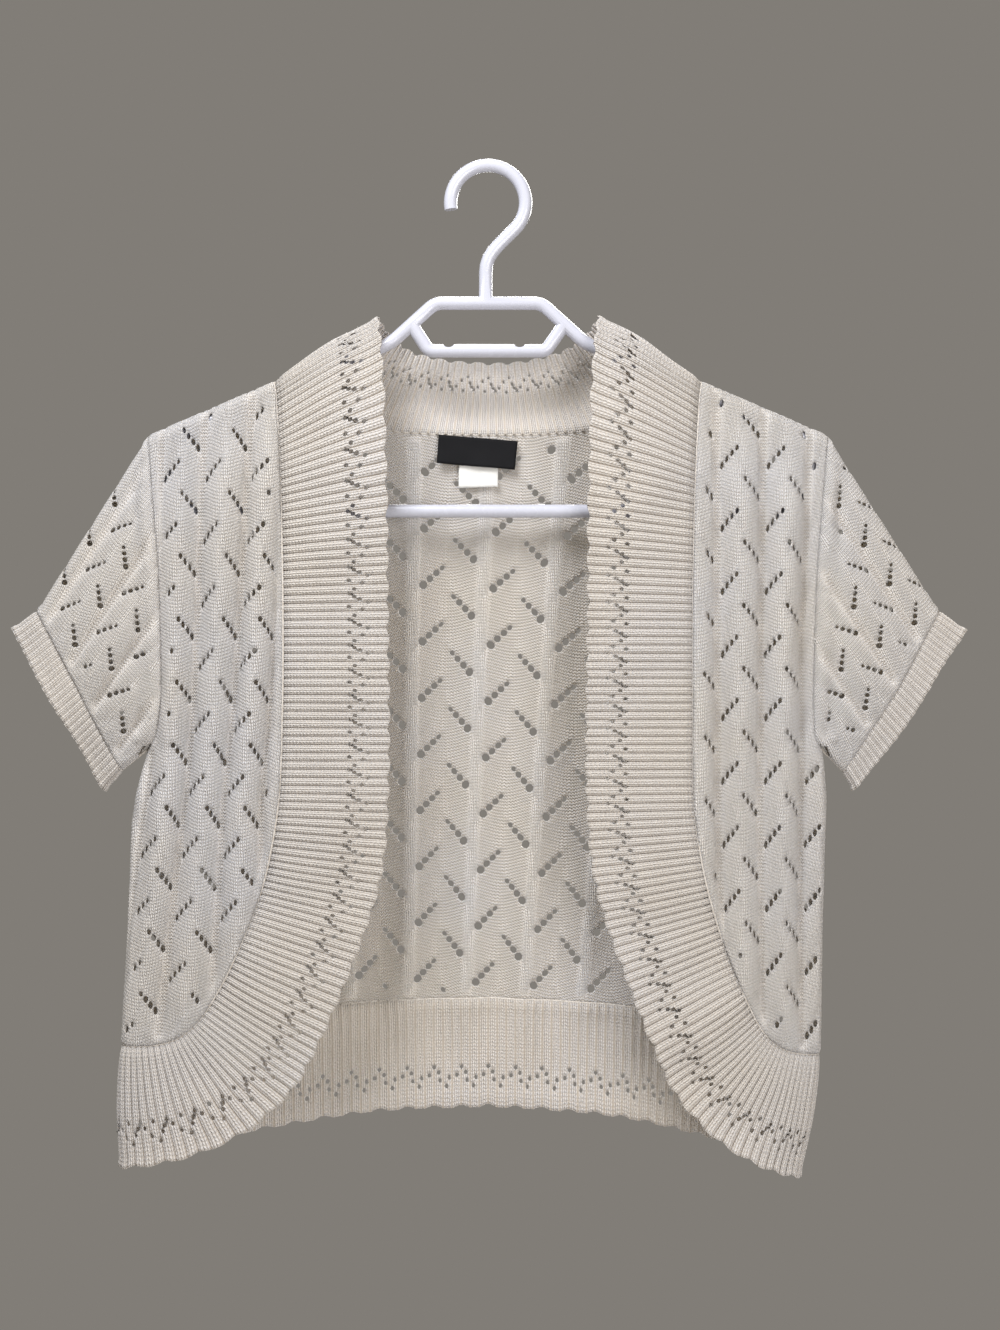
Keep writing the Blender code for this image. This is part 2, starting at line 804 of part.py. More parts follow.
def build_front_band():
    neck = seam_rows(NECK_BAND)
    front = seam_rows(FRONT_BAND)
    sections = []
    for key in half_steps(-BAND_SCALLOPS, BAND_SCALLOPS):
        side = -1.0 if key < 0 else 1.0
        size = abs(key)
        if size <= SHOULDER_SCALLOP:
            sections.append(tuple(band_section(neck, size, side, 1)))
        else:
            sections.append(tuple(band_section(front, size, side, -1)))
    band_solid("front_neck_band", sections)


def build_hem_band():
    rows = seam_rows(HEM_BAND)
    sections = []
    for key in half_steps(-HEM_SCALLOPS, HEM_SCALLOPS):
        side = -1.0 if key < 0 else 1.0
        sections.append(tuple(band_section(rows, abs(key), side, 1)))
    band_solid("back_hem_band", sections)


# Sleeves


def pressed_section(top, bottom, bulge, face, arc):
    """Point round a tube pressed flat between its top and bottom folds."""
    width = (bottom - top).length
    total = width + 2 * FOLD_ALLOWANCE
    if arc <= total / 2:
        distance, depth = fold_shift(arc)
    else:
        distance, depth = fold_shift(total - arc)
        distance = width - distance
    depth += bulge * math.sin(math.pi * arc / total) ** 2
    return top.lerp(bottom, distance / width) + Vector((0.0, face * depth, 0.0))


def cuff_total():
    return (CUFF_SEAM_BOTTOM - CUFF_SEAM_TOP).length + 2 * FOLD_ALLOWANCE


def cuff_point(turn, share, side):
    """Middle of the cuff's wall: once round its ring, from seam (0) to edge (1)."""
    face = -1 if turn < 0.5 else 1
    part = turn * 2 if turn < 0.5 else 2 - turn * 2
    edge_total = (CUFF_EDGE_BOTTOM - CUFF_EDGE_TOP).length + 2 * FOLD_ALLOWANCE
    ends = (
        pressed_section(CUFF_SEAM_TOP, CUFF_SEAM_BOTTOM, CUFF_SEAM_BULGE, face, part * cuff_total()),
        pressed_section(CUFF_EDGE_TOP, CUFF_EDGE_BOTTOM, CUFF_EDGE_BULGE, face, part * edge_total),
    )
    point = ends[0].lerp(ends[1], share)
    return Vector((point.x * side, point.y, point.z))


def cuff_outward(turn, side):
    ahead = cuff_point((turn + 0.002) % 1.0, 0.5, side) - cuff_point((turn - 0.002) % 1.0, 0.5, side)
    down = cuff_point(turn, 1.0, side) - cuff_point(turn, 0.0, side)
    return ahead.cross(down).normalized() * side


def arc_at_cuff(arc, total):
    """Arc length on the cuff's half that meets one on the armhole's half."""
    if arc < FOLD_ARC:
        return arc
    if arc > total - FOLD_ARC:
        return cuff_total() - (total - arc)
    run = (cuff_total() - 2 * FOLD_ARC) / (total - 2 * FOLD_ARC)
    return FOLD_ARC + (arc - FOLD_ARC) * run


def sleeve_middle(s, arc, face, side, curve):
    """Ruled from the armhole (s = 0) to the cuff's seam (s = 1)."""
    total = curve[-1][0]
    u, v = read_curve(curve, arc)
    start = body_middle(side * u, v, face)
    at_cuff = arc_at_cuff(arc, total)
    end = pressed_section(CUFF_SEAM_TOP, CUFF_SEAM_BOTTOM, CUFF_SEAM_BULGE, face, at_cuff)
    end = swing(Vector((side * end.x, end.y, end.z)))
    bulge = SLEEVE_BULGE * 4 * s * (1 - s) * math.sin(math.pi * arc / total) ** 2
    return start.lerp(end, s) + Vector((0.0, face * bulge, 0.0))


def sleeve_length(arc, face, side, curve):
    ends = [sleeve_middle(s, arc, face, side, curve) for s in (0.0, 1.0)]
    return (ends[1] - ends[0]).length


def build_sleeve_half(name, side, face):
    curve = armhole_curve()
    total = curve[-1][0]
    stations = armhole_stations(total)
    arcs = [max(HALF_GAP, min(total - HALF_GAP, arc)) for arc in stations]

    def edge_share(arc, gap):
        return gap / sleeve_length(arc, face, side, curve)

    start = []
    for arc in arcs:
        tuck = UNDERARM_TUCK * ease((arc - total) / UNDERARM_REACH + 1.0)
        start.append((edge_share(arc, ARMHOLE_GAP + tuck) * SLEEVE_GRID, arc))
    end = [((1 - edge_share(arc, SEAM_GAP)) * SLEEVE_GRID, arc) for arc in arcs]
    outline = end + start[::-1]
    centres = []
    for column in SLEEVE_COLUMNS:
        length = sleeve_length(column, face, side, curve)
        reach = SLEEVE_CUFF_MARGIN
        left = True
        while reach < length - SLEEVE_ARMHOLE_MARGIN:
            s = 1 - reach / length
            shift = (-LEFT_EYELET if left else RIGHT_EYELET) / (1 - SLEEVE_NARROWING * s)
            centres.append((s * SLEEVE_GRID, column + shift, 1 if left else -1))
            reach += SLEEVE_PERIOD / 2
            left = not left
    points = []
    for s in (0.33, 0.66):
        for arc in [total * i / 8 for i in range(1, 8)]:
            if all(math.hypot(s * SLEEVE_GRID - c[0], arc - c[1]) > POINT_MARGIN for c in centres):
                points.append((s * SLEEVE_GRID, arc))
    creases = []
    for index in (1, 2, len(arcs) - 3, len(arcs) - 2):
        creases.append([start[index], (SLEEVE_GRID / 2, arcs[index]), end[index]])
    holes = []
    for u, v, lean in centres:
        length = sleeve_length(v, face, side, curve)
        holes.append(eyelet(u, v, lean, SLEEVE_GRID / length))

    def middle(u, v, facing):
        return sleeve_middle(u / SLEEVE_GRID, v, facing, side, curve)

    def place(u, v, layer):
        s = u / SLEEVE_GRID
        outward = normal_at(middle, u, v, face) * -side
        flat = read_curve(curve, v)
        at_body = normal_at(body_middle, side * flat[0], flat[1], face)
        turn = arc_at_cuff(v, total) / cuff_total() / 2
        at_cuff = cuff_outward(turn if face < 0 else 1 - turn, side)
        own = max(ease(s / 0.3), ease((v - total) / UNDERARM_REACH + 1.5))
        outward = at_body.lerp(outward, own)
        outward = outward.lerp(at_cuff, ease((s - 0.7) / 0.3))
        on_fold = min(v, total - v) < SEAM_GAP
        outward.y = 0.0 if on_fold else outward.y
        outward.normalize()
        return middle(u, v, face) + outward * WALL * (layer - 0.5)

    cut_sheet(name, outline, holes, points, creases, place, WHITE_KNIT, 0.9)
    return len(holes)


def build_cuff(name, side):
    """A ribbed ring, pressed flat like the sleeve."""
    depth = (CUFF_EDGE_TOP - CUFF_SEAM_TOP).length

    def wall_point(turn, share, offset):
        return swing(cuff_point(turn, share, side) + cuff_outward(turn, side) * offset)

    bm = bmesh.new()
    shares = (SEAM_GAP / depth, 1.0)
    outer = []
    for step in range(CUFF_RIBS * 2):
        lift = CUFF_RIB_RAISE if step % 2 else 0.0
        turn = step / (CUFF_RIBS * 2)
        outer.append([bm.verts.new(wall_point(turn, share, WALL / 2 + lift)) for share in shares])
    inner = []
    for step in range(CUFF_RIBS // 2):
        turn = step / (CUFF_RIBS // 2)
        inner.append([bm.verts.new(wall_point(turn, share, -WALL / 2)) for share in shares])
    for grid in (outer, inner):
        for a, b in zip(grid, grid[1:] + grid[:1]):
            bm.faces.new((a[0], a[1], b[1], b[0]))
    ratio = 4
    for i in (0, 1):
        for step in range(CUFF_RIBS // 2):
            near = inner[step][i]
            far = inner[(step + 1) % (CUFF_RIBS // 2)][i]
            rim = [outer[(step * ratio + j) % len(outer)][i] for j in range(ratio + 1)]
            for j in range(2):
                bm.faces.new((near, rim[j], rim[j + 1]))
            bm.faces.new((near, rim[2], far))
            for j in range(2, ratio):
                bm.faces.new((far, rim[j], rim[j + 1]))
    add_object(name, bm, WHITE_KNIT, 0.9)


# Labels


def build_label(name, corners, lift, wall, colour):
    """A small woven label on the inner face of the back."""

    def place(u, v, layer):
        return body_point(u, v, 1, -(WALL / 2 + lift + wall * (1 - layer)))

    outline = [Vector(corner) for corner in reversed(corners)]
    middle = sum(outline, Vector((0.0, 0.0))) / len(outline)
    cut_sheet(name, outline, [], [middle], [], place, colour, 0.7)


# Hanger


def round_path(corners, closed):
    """Straight runs with rounded corners (x, z, radius) in the plane y = 0."""
    path = []
    count = len(corners)
    for index, (x, z, radius) in enumerate(corners):
        here = Vector((x, z))
        if not closed and index in (0, count - 1):
            path.append(here)
            continue
        before = (Vector(corners[index - 1][:2]) - here).normalized()
        after = (Vector(corners[(index + 1) % count][:2]) - here).normalized()
        half = before.angle(after) / 2
        reach = radius / math.tan(half)
        centre = here + (before + after).normalized() * radius / math.sin(half)
        start = here + before * reach - centre
        end = here + after * reach - centre
        sweep = start.angle_signed(end)
        steps = max(2, round(abs(sweep) / math.radians(22)))
        first = math.atan2(start.y, start.x)
        for i in range(steps + 1):
            angle = first - sweep * i / steps
            path.append(centre + Vector((math.cos(angle), math.sin(angle))) * radius)
    return path


def tube(path, closed):
    """A round tube along a plane path, as a bmesh."""
    bm = bmesh.new()
    count = len(path)
    rings = []
    for index, point in enumerate(path):
        before = path[index - 1] if closed or index else point
        after = path[(index + 1) % count] if closed or index < count - 1 else point
        run_in = (point - before).normalized()
        run_out = (after - point).normalized()
        run = (run_in + run_out).normalized()
        reach = max(run.dot(run_in), run.dot(run_out))
        ring = []
        for k in range(TUBE_SIDES):
            angle = 2 * math.pi * (k + 0.5) / TUBE_SIDES
            out = TUBE_RADIUS * math.cos(angle) / reach
            x = point.x - run.y * out
            z = point.y + run.x * out
            ring.append(bm.verts.new((x, TUBE_RADIUS * math.sin(angle), z)))
        rings.append(ring)
    pairs = list(zip(rings, rings[1:]))
    if closed:
        pairs.append((rings[-1], rings[0]))
    for a, b in pairs:
        for k in range(TUBE_SIDES):
            n = (k + 1) % TUBE_SIDES
            bm.faces.new((a[k], a[n], b[n], b[k]))
    if not closed:
        bm.faces.new(rings[0])
        bm.faces.new(rings[-1][::-1])
    return bm


def hook_path():
    """From the hook's tip over its round top, and down to the stem."""
    path = []
    steps = 14
    for i in range(steps + 1):
        angle = math.radians(HOOK_TIP_ANGLE + (HOOK_END_ANGLE - HOOK_TIP_ANGLE) * i / steps)
        height = HOOK_CENTRE_Z + HOOK_RADIUS * math.sin(angle)
        path.append(Vector((HOOK_RADIUS * math.cos(angle), height)))
    path.append(Vector((7.0, -46.5)))
    path.append(Vector((0.5, -55.0)))
    path.append(Vector((STEM_X, -64.0)))
    path.append(Vector((STEM_X, -84.0)))
    return path


def frame_corners():
    """x, z, bend radius round the hanger: window, arm, tip and trouser bar."""
    right = (
        (34.0, -84.0, 12.0),
        (62.0, -109.3, 26.0),
        (212.0, -174.2, 14.0),
        (200.0, -217.0, 17.0),
    )
    left = tuple((-x, z, radius) for x, z, radius in reversed(right))
    return right + left


def build_hanger():
    frame = add_object("hanger", tube(round_path(frame_corners(), True), True), WHITE_PLASTIC, 0.3)
    window = ((-49.0, -97.5, 0.0), (-38.0, -114.5, 6.0), (37.0, -114.5, 6.0), (49.0, -97.5, 0.0))
    paths = (("window_bar_cutter", round_path(window, False)), ("hook_cutter", hook_path()))
    for name, path in paths:
        part = add_object(name, tube(path, False), WHITE_PLASTIC, 0.3)
        part.hide_render = True
        part.display_type = "WIRE"
        join = frame.modifiers.new(name, "BOOLEAN")
        join.operation = "UNION"
        join.solver = "EXACT"
        join.object = part


def main():
    clear_scene()
    eyelets = build_back()
    for side, word in ((-1, "left"), (1, "right")):
        eyelets += build_front("front_" + word, side)
        eyelets += build_sleeve_half("sleeve_" + word + "_front", side, -1)
        eyelets += build_sleeve_half("sleeve_" + word + "_back", side, 1)
        build_cuff("cuff_" + word, side)
    build_front_band()
    build_hem_band()
    build_label("care_label", CARE_LABEL, SEAM_GAP, CARE_WALL, LABEL_WHITE)
    build_label("neck_label", BRAND_LABEL, 2 * SEAM_GAP + CARE_WALL, LABEL_WALL, LABEL_BLACK)
    build_hanger()
    print("eyelets cut through:", eyelets)


main()
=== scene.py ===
# %% [markdown]
# A knitted lace shrug on its hanger
#
# The garment is a short, open cardigan of ivory cotton. Its back, fronts and sleeves are a leaf
# lace, and a deep ribbed band with a scalloped edge runs round the neck, the fronts and the hem.
# It hangs on a moulded plastic hanger.
#
# Each cloth piece is drawn flat, as a knitter would lay it out, and a placing function then hangs
# every point in space. The same functions serve all pieces, so neighbours meet at their seams.
# The sizes are in millimetres until a mesh is finished.

# %% The frame
import math

import bmesh
import bpy
from mathutils import Matrix, Vector, noise
from mathutils.geometry import delaunay_2d_cdt
from mathutils.kdtree import KDTree


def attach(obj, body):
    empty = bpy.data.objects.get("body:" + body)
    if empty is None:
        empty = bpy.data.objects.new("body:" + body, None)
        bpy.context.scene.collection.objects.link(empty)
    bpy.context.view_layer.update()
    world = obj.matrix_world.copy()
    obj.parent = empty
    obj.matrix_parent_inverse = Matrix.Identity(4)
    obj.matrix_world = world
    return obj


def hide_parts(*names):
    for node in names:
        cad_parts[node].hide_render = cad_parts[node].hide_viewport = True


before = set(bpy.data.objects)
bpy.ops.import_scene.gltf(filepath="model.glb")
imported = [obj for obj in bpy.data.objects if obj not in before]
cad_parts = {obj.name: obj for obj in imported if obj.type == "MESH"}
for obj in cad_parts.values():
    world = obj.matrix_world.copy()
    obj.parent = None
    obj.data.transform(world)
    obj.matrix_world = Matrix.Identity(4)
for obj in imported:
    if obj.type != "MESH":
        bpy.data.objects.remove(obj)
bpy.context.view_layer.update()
MM = 0.001
print("nodes:", len(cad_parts))

# %% [markdown]
# The form it hangs in
#
# Cloth over a hanger has three kinds of form. It folds over the arms at the shoulders, it folds
# again at its sides, and between the folds it bulges softly away from the hanger's plane. The
# tables below give that form by its real sizes: half widths and depths at a few heights.

# %% Sizes of the hung body
WALL = 1.2
FOLD_RADIUS = 5.9
FOLD_ALLOWANCE = FOLD_RADIUS * (math.pi / 2 - 1)
FOLD_ARC = FOLD_RADIUS * math.pi / 2
ARM_START = (66.0, -111.0)
ARM_SLOPE = 0.4327
ARM_COS = 1 / math.hypot(1, ARM_SLOPE)
SHOULDER_TIP_X = 216.0
UNDERARM_X = 214.0
UNDERARM_Z = -368.0
BODY_HALF = 222.0
SHOULDER_SCALLOP = 9
BAND_SCALLOPS = 44
HEM_SCALLOPS = 13
SHOULDER_SEAM_X = 136.0
HEM_CORNER_Z = -560.5
LACE_BOTTOM_Z = -560

# z, half width at the side seam
SIDE_LINE = (
    (-640, 217), (-600, 220), (-560.5, 222.5), (-534, 222), (-485, 221),
    (-416, 220.5), (-400, 219.7), (-384, 217), (UNDERARM_Z, UNDERARM_X),
)
# z, how far the sides swing to -X
SWING = ((-640, -19.5), (-560, -11), (-485, -8.6), (-416, -6), (-376, -2.5), (-330, 0))
# z, depth of the front, depth of the back
DEPTH = (
    (-640, 15, 17), (-480, 16, 17), (-350, 13, 14),
    (-250, 10, 10), (-165, 8, 8.3), (-130, 5, 6),
)
# x, z down the armhole laid flat
ARMHOLE = (
    (215, -190), (210, -248), (208, -300), (207.5, -335),
    (208.5, -352), (210.2, -361.5), (213.2, -366.8),
)
# scallop, seam x, seam z, edge x, edge y, edge z
NECK_BAND = (
    (0, 0, -167, 0, 36, -118), (2.4, 40, -166, 30, 34, -116.5),
    (4.3, 72, -162.5, 50, 27, -112), (6.2, 102, -150.5, 63, 17, -104),
    (7.2, 118, -143, 67.5, 10, -99.5), (8, 128.5, -137.6, 70, 3.5, -96.5),
    (9, 136, -134.9, 71, -4, -95),
)
FRONT_BAND = (
    (9, 136, -134.9, 71, -4, -95), (10.5, 135.2, -145.5, 69, -15, -110),
    (12, 133.5, -168, 67, -22, -136), (13.8, 132, -195, 65.5, -24, -176),
    (15.9, 131, -228, 64.5, -22, -220), (19.2, 130, -280, 64.5, -20, -279),
    (22.9, 130, -338, 63.5, -20, -338), (27, 131.5, -402, 64, -21, -403),
    (29.7, 137, -440, 68.5, -22, -449), (32, 145, -470, 79.5, -23, -487),
    (34.8, 158.5, -506, 97, -24, -533), (36.4, 168, -526, 109, -24, -560),
    (38, 178, -543, 122, -23, -584), (39.7, 188, -553, 148, -21, -610),
    (41.1, 199, -558.5, 176, -17, -626), (42.4, 212, -560.5, 199, -11, -634),
    (43.3, 219.5, -560.5, 212, -6, -637), (44, 222.5, -560.5, 217, 0, -638),
)
HEM_BAND = (
    (0, 0, -532, 0, 25, -601), (4.5, 80, -535.5, 79, 24, -606),
    (8, 143, -543, 141, 20, -617), (10.7, 190, -552.5, 187, 13, -628),
    (12.1, 212, -558, 208, 8, -635), (12.6, 219.5, -560.2, 214, 5, -637.3),
    (13, 222.5, -560.5, 217, 0, -638),
)

# %% Reading tables


def ease(t):
    t = min(max(t, 0.0), 1.0)
    return t * t * (3 - 2 * t)


def mix(a, b, t):
    return a + (b - a) * t


def read_table(table, key, column=1):
    """Straight interpolation in a table sorted by its first column."""
    if key <= table[0][0]:
        return table[0][column]
    for low, high in zip(table, table[1:]):
        if key <= high[0]:
            return mix(low[column], high[column], (key - low[0]) / (high[0] - low[0]))
    return table[-1][column]


def row_slope(rows, index, column):
    before = rows[max(index - 1, 0)]
    after = rows[min(index + 1, len(rows) - 1)]
    return (after[column] - before[column]) / (after[0] - before[0])


def read_curve(rows, key):
    """Smooth interpolation of rows (key, value, value, ...)."""
    last = len(rows) - 1
    index = 0
    while index < last - 1 and key > rows[index + 1][0]:
        index += 1
    low, high = rows[index], rows[index + 1]
    span = high[0] - low[0]
    t = (key - low[0]) / span
    values = []
    for column in range(1, len(low)):
        start = row_slope(rows, index, column) * span * t * (1 - t) ** 2
        end = row_slope(rows, index + 1, column) * span * t * t * (1 - t)
        values.append(mix(low[column], high[column], t * t * (3 - 2 * t)) + start - end)
    return values


# %% [markdown]
# Lace columns
#
# A leaf lace repeats in columns. Down the middle of each column runs a plain rib, which is a
# valley on the right side of the knit and a raised rib inside. On its left a slanting row of
# eyelets leads down to it, and half a repeat lower one does so on its right. On the back the
# hem band draws the columns together, and on the fronts they hang as narrow soft folds.

# %% Columns of the back and the fronts
BACK_PERIOD = 36.6
BACK_EYELET_Z = -174.4
BACK_TOP_Z = -180.0
BACK_BOTTOM_Z = -530.0
BACK_TILT = 0.05
FRONT_PERIOD = 40.0
FRONT_EYELET_Z = {-1: -177.5, 1: -169.0}
# z, |x| of the lace columns of each front
FRONT_LACE = {
    -1: (
        (-550, 142, 171, 201, 228), (-400, 142, 165, 189, 213),
        (-300, 135, 158, 185, 211), (-150, 124, 150, 180, 207),
    ),
    1: (
        (-550, 126, 154, 181, 209), (-391, 120, 147, 175, 203),
        (-309, 118, 145.7, 173.4, 199), (-150, 116, 145, 176, 206),
    ),
}


def back_column(index, z):
    t = (BACK_TOP_Z - z) / (BACK_TOP_Z - BACK_BOTTOM_Z)
    return index * mix(47.9, 37.4, t) - 14.0 * t


def column_phase(x, z, face):
    """Place across the lace columns: whole numbers are the ribs."""
    if face > 0:
        first = back_column(0, z)
        return (x - first) / (back_column(1, z) - first)
    side = -1 if x < 0 else 1
    columns = [read_table(FRONT_LACE[side], z, i) for i in (1, 2, 3, 4)]
    size = abs(x)
    index = max(0, min(2, sum(size > c for c in columns) - 1))
    phase = index + (size - columns[index]) / (columns[index + 1] - columns[index])
    return phase * side


# %% Folds and swing


def shoulder_z(x):
    return ARM_START[1] - (abs(x) - ARM_START[0]) * ARM_SLOPE + FOLD_RADIUS / ARM_COS


def side_x(z):
    if z > UNDERARM_Z:
        return UNDERARM_X + (z - UNDERARM_Z) * 0.5
    return read_table(SIDE_LINE, z)


def fold_shift(arc):
    """Real distance from a fold, and depth, at an arc length from it."""
    if arc >= FOLD_ARC:
        return arc - FOLD_ALLOWANCE, FOLD_RADIUS
    angle = arc / FOLD_RADIUS
    return FOLD_RADIUS * (1 - math.cos(angle)), FOLD_RADIUS * math.sin(angle)


def fold_arc(distance):
    if distance >= FOLD_RADIUS:
        return distance + FOLD_ALLOWANCE
    return FOLD_RADIUS * math.acos(1 - max(distance, 0.0) / FOLD_RADIUS)


def to_flat(x, z):
    """Front-view point (x >= 0) to the flat piece, opened out at its folds."""
    u, v = x, z
    drop = (shoulder_z(x) - z) * ARM_COS
    if drop < FOLD_RADIUS:
        opened = fold_arc(drop) - FOLD_ALLOWANCE - drop
        u -= opened * ARM_SLOPE * ARM_COS
        v -= opened * ARM_COS
    inset = side_x(z) - x
    if inset < FOLD_RADIUS:
        u -= fold_arc(inset) - FOLD_ALLOWANCE - inset
    return u, v


def depth_of(x, z, face):
    across = 1 - min(abs(x) / side_x(z), 1.0) ** 2.5
    drop = ease((shoulder_z(x) - z) / 70)
    return read_table(DEPTH, z, 1 if face < 0 else 2) * across * drop


# Soft creases of the fronts and the back: face, x, z at the top, x, z at the bottom,
# half width, height.  A negative height is a trough.
CREASES = (
    (-1, -196, -175, -170, -330, 9, -1.8), (-1, -168, -230, -176, -430, 8, 1.6),
    (-1, -205, -330, -196, -540, 9, 1.9), (-1, -148, -300, -158, -470, 7, 1.3),
    (-1, -214, -190, -204, -300, 7, 1.7), (-1, -183, -430, -178, -545, 8, -1.6),
    (-1, 160, -170, 162, -380, 8, 1.9), (-1, 190, -180, 187, -420, 9, 2.1),
    (-1, 212, -215, 199, -350, 7, -1.9), (-1, 151, -330, 165, -500, 8, -1.4),
    (-1, 176, -400, 190, -545, 9, 1.7), (-1, 206, -400, 206, -550, 8, -1.5),
    (1, -60, -200, -72, -520, 16, 1.7), (1, 30, -250, 12, -525, 18, -1.6),
    (1, 96, -190, 70, -500, 15, 1.9), (1, -130, -220, -118, -535, 14, -2.0),
    (1, 150, -260, 128, -545, 14, 1.8), (1, -185, -250, -172, -550, 12, 1.9),
    (1, 192, -280, 178, -550, 12, -1.7), (1, -20, -180, -6, -330, 13, 1.2),
)


def crease_depth(x, z, face):
    total = 0.0
    for side, x1, z1, x2, z2, half, height in CREASES:
        if side != face or z > z1 + 40 or z < z2 - 40:
            continue
        t = (z1 - z) / (z1 - z2)
        away = (x - mix(x1, x2, t) - 3 * math.sin(z / 37 + x1)) / half
        if abs(away) < 2.5:
            ends = ease((z1 + 40 - z) / 70) * ease((z - z2 + 40) / 70)
            total += height * math.exp(-away * away) * ends
    return total


def wave_of(x, z, face):
    """Soft folds between the lace columns, uneven from fold to fold."""
    phase = column_phase(x, z, face)
    if face < 0:
        height = 2.4 * ease((abs(x) - 125) / 12)
        height *= 1 + 0.3 * math.sin(z / 71 + 2.1 * phase)
    else:
        height = 1.5 * ease((-195 - z) / 50)
    fade = ease((shoulder_z(x) - z) / 60) * ease((z + 560) / 40)
    fade *= ease((side_x(z) - abs(x)) / 20)
    return (crease_depth(x, z, face) - height * math.cos(2 * math.pi * phase)) * fade


def swing(point):
    """The garment leans a little on its hanger."""
    share = abs(point.x) / BODY_HALF
    across = read_table(SWING, point.z) * min(share, 1.15) ** 3
    drop = 3 * ease((-330 - point.z) / 300) * point.x / BODY_HALF
    return Vector((point.x + across, point.y, point.z - drop))


def hang_body(u, v, face):
    """Middle of the body's cloth at a flat point; face is -1 in front, 1 behind."""
    side = -1.0 if u < 0 else 1.0
    x, z = abs(u), v
    arc = (shoulder_z(x) - z) * ARM_COS + FOLD_ALLOWANCE
    distance, depth_top = fold_shift(arc)
    moved = distance - (arc - FOLD_ALLOWANCE)
    x -= moved * ARM_SLOPE * ARM_COS
    z -= moved * ARM_COS
    arc = side_x(z) - x + FOLD_ALLOWANCE
    distance, depth_side = fold_shift(arc)
    x -= distance - (arc - FOLD_ALLOWANCE)
    y = depth_top * depth_side / FOLD_RADIUS
    y += depth_of(x, z, face) + wave_of(side * x, z, face)
    return swing(Vector((side * x, face * y, z)))


def normal_at(place, u, v, face):
    step = 0.05
    along = place(u + step, v, face) - place(u - step, v, face)
    down = place(u, v + step, face) - place(u, v - step, face)
    return (along.cross(down) * -face).normalized()


print("shoulder tip:", [round(c) for c in hang_body(SHOULDER_TIP_X, shoulder_z(SHOULDER_TIP_X), 1)])

# %% [markdown]
# Shader maths
#
# A material is easier to read when its maths is written as maths. The class below wraps a
# socket, so `1 - mask` adds a Math node. Any other node comes from `node()`.

# %% The socket wrapper


class Wire:
    """A node's output, with the operators of ordinary numbers."""

    def __init__(self, tree, socket):
        self.tree = tree
        self.socket = socket

    def math(self, operation, *others):
        maths = self.tree.nodes.new("ShaderNodeMath")
        maths.operation = operation
        for slot, value in zip(maths.inputs, (self, *others)):
            connect(self.tree, slot, value)
        return Wire(self.tree, maths.outputs[0])

    def __add__(self, other):
        return self.math("ADD", other)

    def __sub__(self, other):
        return self.math("SUBTRACT", other)

    def __rsub__(self, other):
        return (self * -1) + other

    def __mul__(self, other):
        return self.math("MULTIPLY", other)

    __radd__ = __add__
    __rmul__ = __mul__


def connect(tree, slot, value):
    if isinstance(value, Wire):
        tree.links.new(value.socket, slot)
    else:
        slot.default_value = value


class Finish:
    """A new material with a Principled shader and short ways to add nodes."""

    def __init__(self, name):
        self.material = bpy.data.materials.new(name)
        self.material.use_nodes = True
        self.tree = self.material.node_tree
        self.shader = self.tree.nodes["Principled BSDF"]

    def node(self, kind, settings=None, inputs=None, output=0):
        made = self.tree.nodes.new(kind)
        for key, value in (settings or {}).items():
            setattr(made, key, value)
        for key, value in (inputs or {}).items():
            connect(self.tree, made.inputs[key], value)
        return Wire(self.tree, made.outputs[output])

    def ramp(self, factor, *stops):
        made = self.tree.nodes.new("ShaderNodeValToRGB")
        elements = made.color_ramp.elements
        while len(elements) < len(stops):
            elements.new(0.5)
        for element, (position, value) in zip(elements, stops):
            element.position = position
            element.color = (value, value, value, 1)
        connect(self.tree, made.inputs[0], factor)
        return Wire(self.tree, made.outputs[0])

    def blend(self, factor, first, second):
        settings = {"data_type": "RGBA"}
        return self.node("ShaderNodeMix", settings, {0: factor, 6: first, 7: second}, 2)

    def place(self):
        """Object coordinates, in metres."""
        return self.node("ShaderNodeTexCoord", output=3)

    def attribute(self, name):
        return self.node("ShaderNodeAttribute", {"attribute_name": name}, output=2)

    def split(self, vector):
        made = self.tree.nodes.new("ShaderNodeSeparateXYZ")
        connect(self.tree, made.inputs[0], vector)
        return [Wire(self.tree, socket) for socket in made.outputs]

    def noise(self, place, scale, detail=2.0, rough=0.5):
        inputs = {"Vector": place, "Scale": scale, "Detail": detail, "Roughness": rough}
        return self.node("ShaderNodeTexNoise", None, inputs)

    def set(self, **values):
        for key, value in values.items():
            connect(self.tree, self.shader.inputs[key.replace("_", " ")], value)

    def bump(self, height, strength, distance):
        inputs = {"Strength": strength, "Distance": distance, "Height": height}
        self.set(Normal=self.node("ShaderNodeBump", None, inputs))


# %% [markdown]
# The knit
#
# Knitting is rows of loops. On the right side each loop shows as a V, and the Vs stack into
# vertical wales. On the wrong side the loops' tops show as wavy rows of small bumps. The
# piece's UV map counts stitches: U across the wales and V down the rows. An attribute tells
# the two sides apart. Height, painted shade in the valleys and a little fuzz all come from
# the same pattern.

# %% Knit finish
IVORY = (0.815, 0.775, 0.725, 1)
# The darker ivory is the colour of painted shade in the knits and the seam yarn.
IVORY_PAINTED_SHADE = (0.50, 0.44, 0.375, 1)
IVORY_COOL = (0.80, 0.79, 0.80, 1)
YARN_HEIGHT = 0.0014


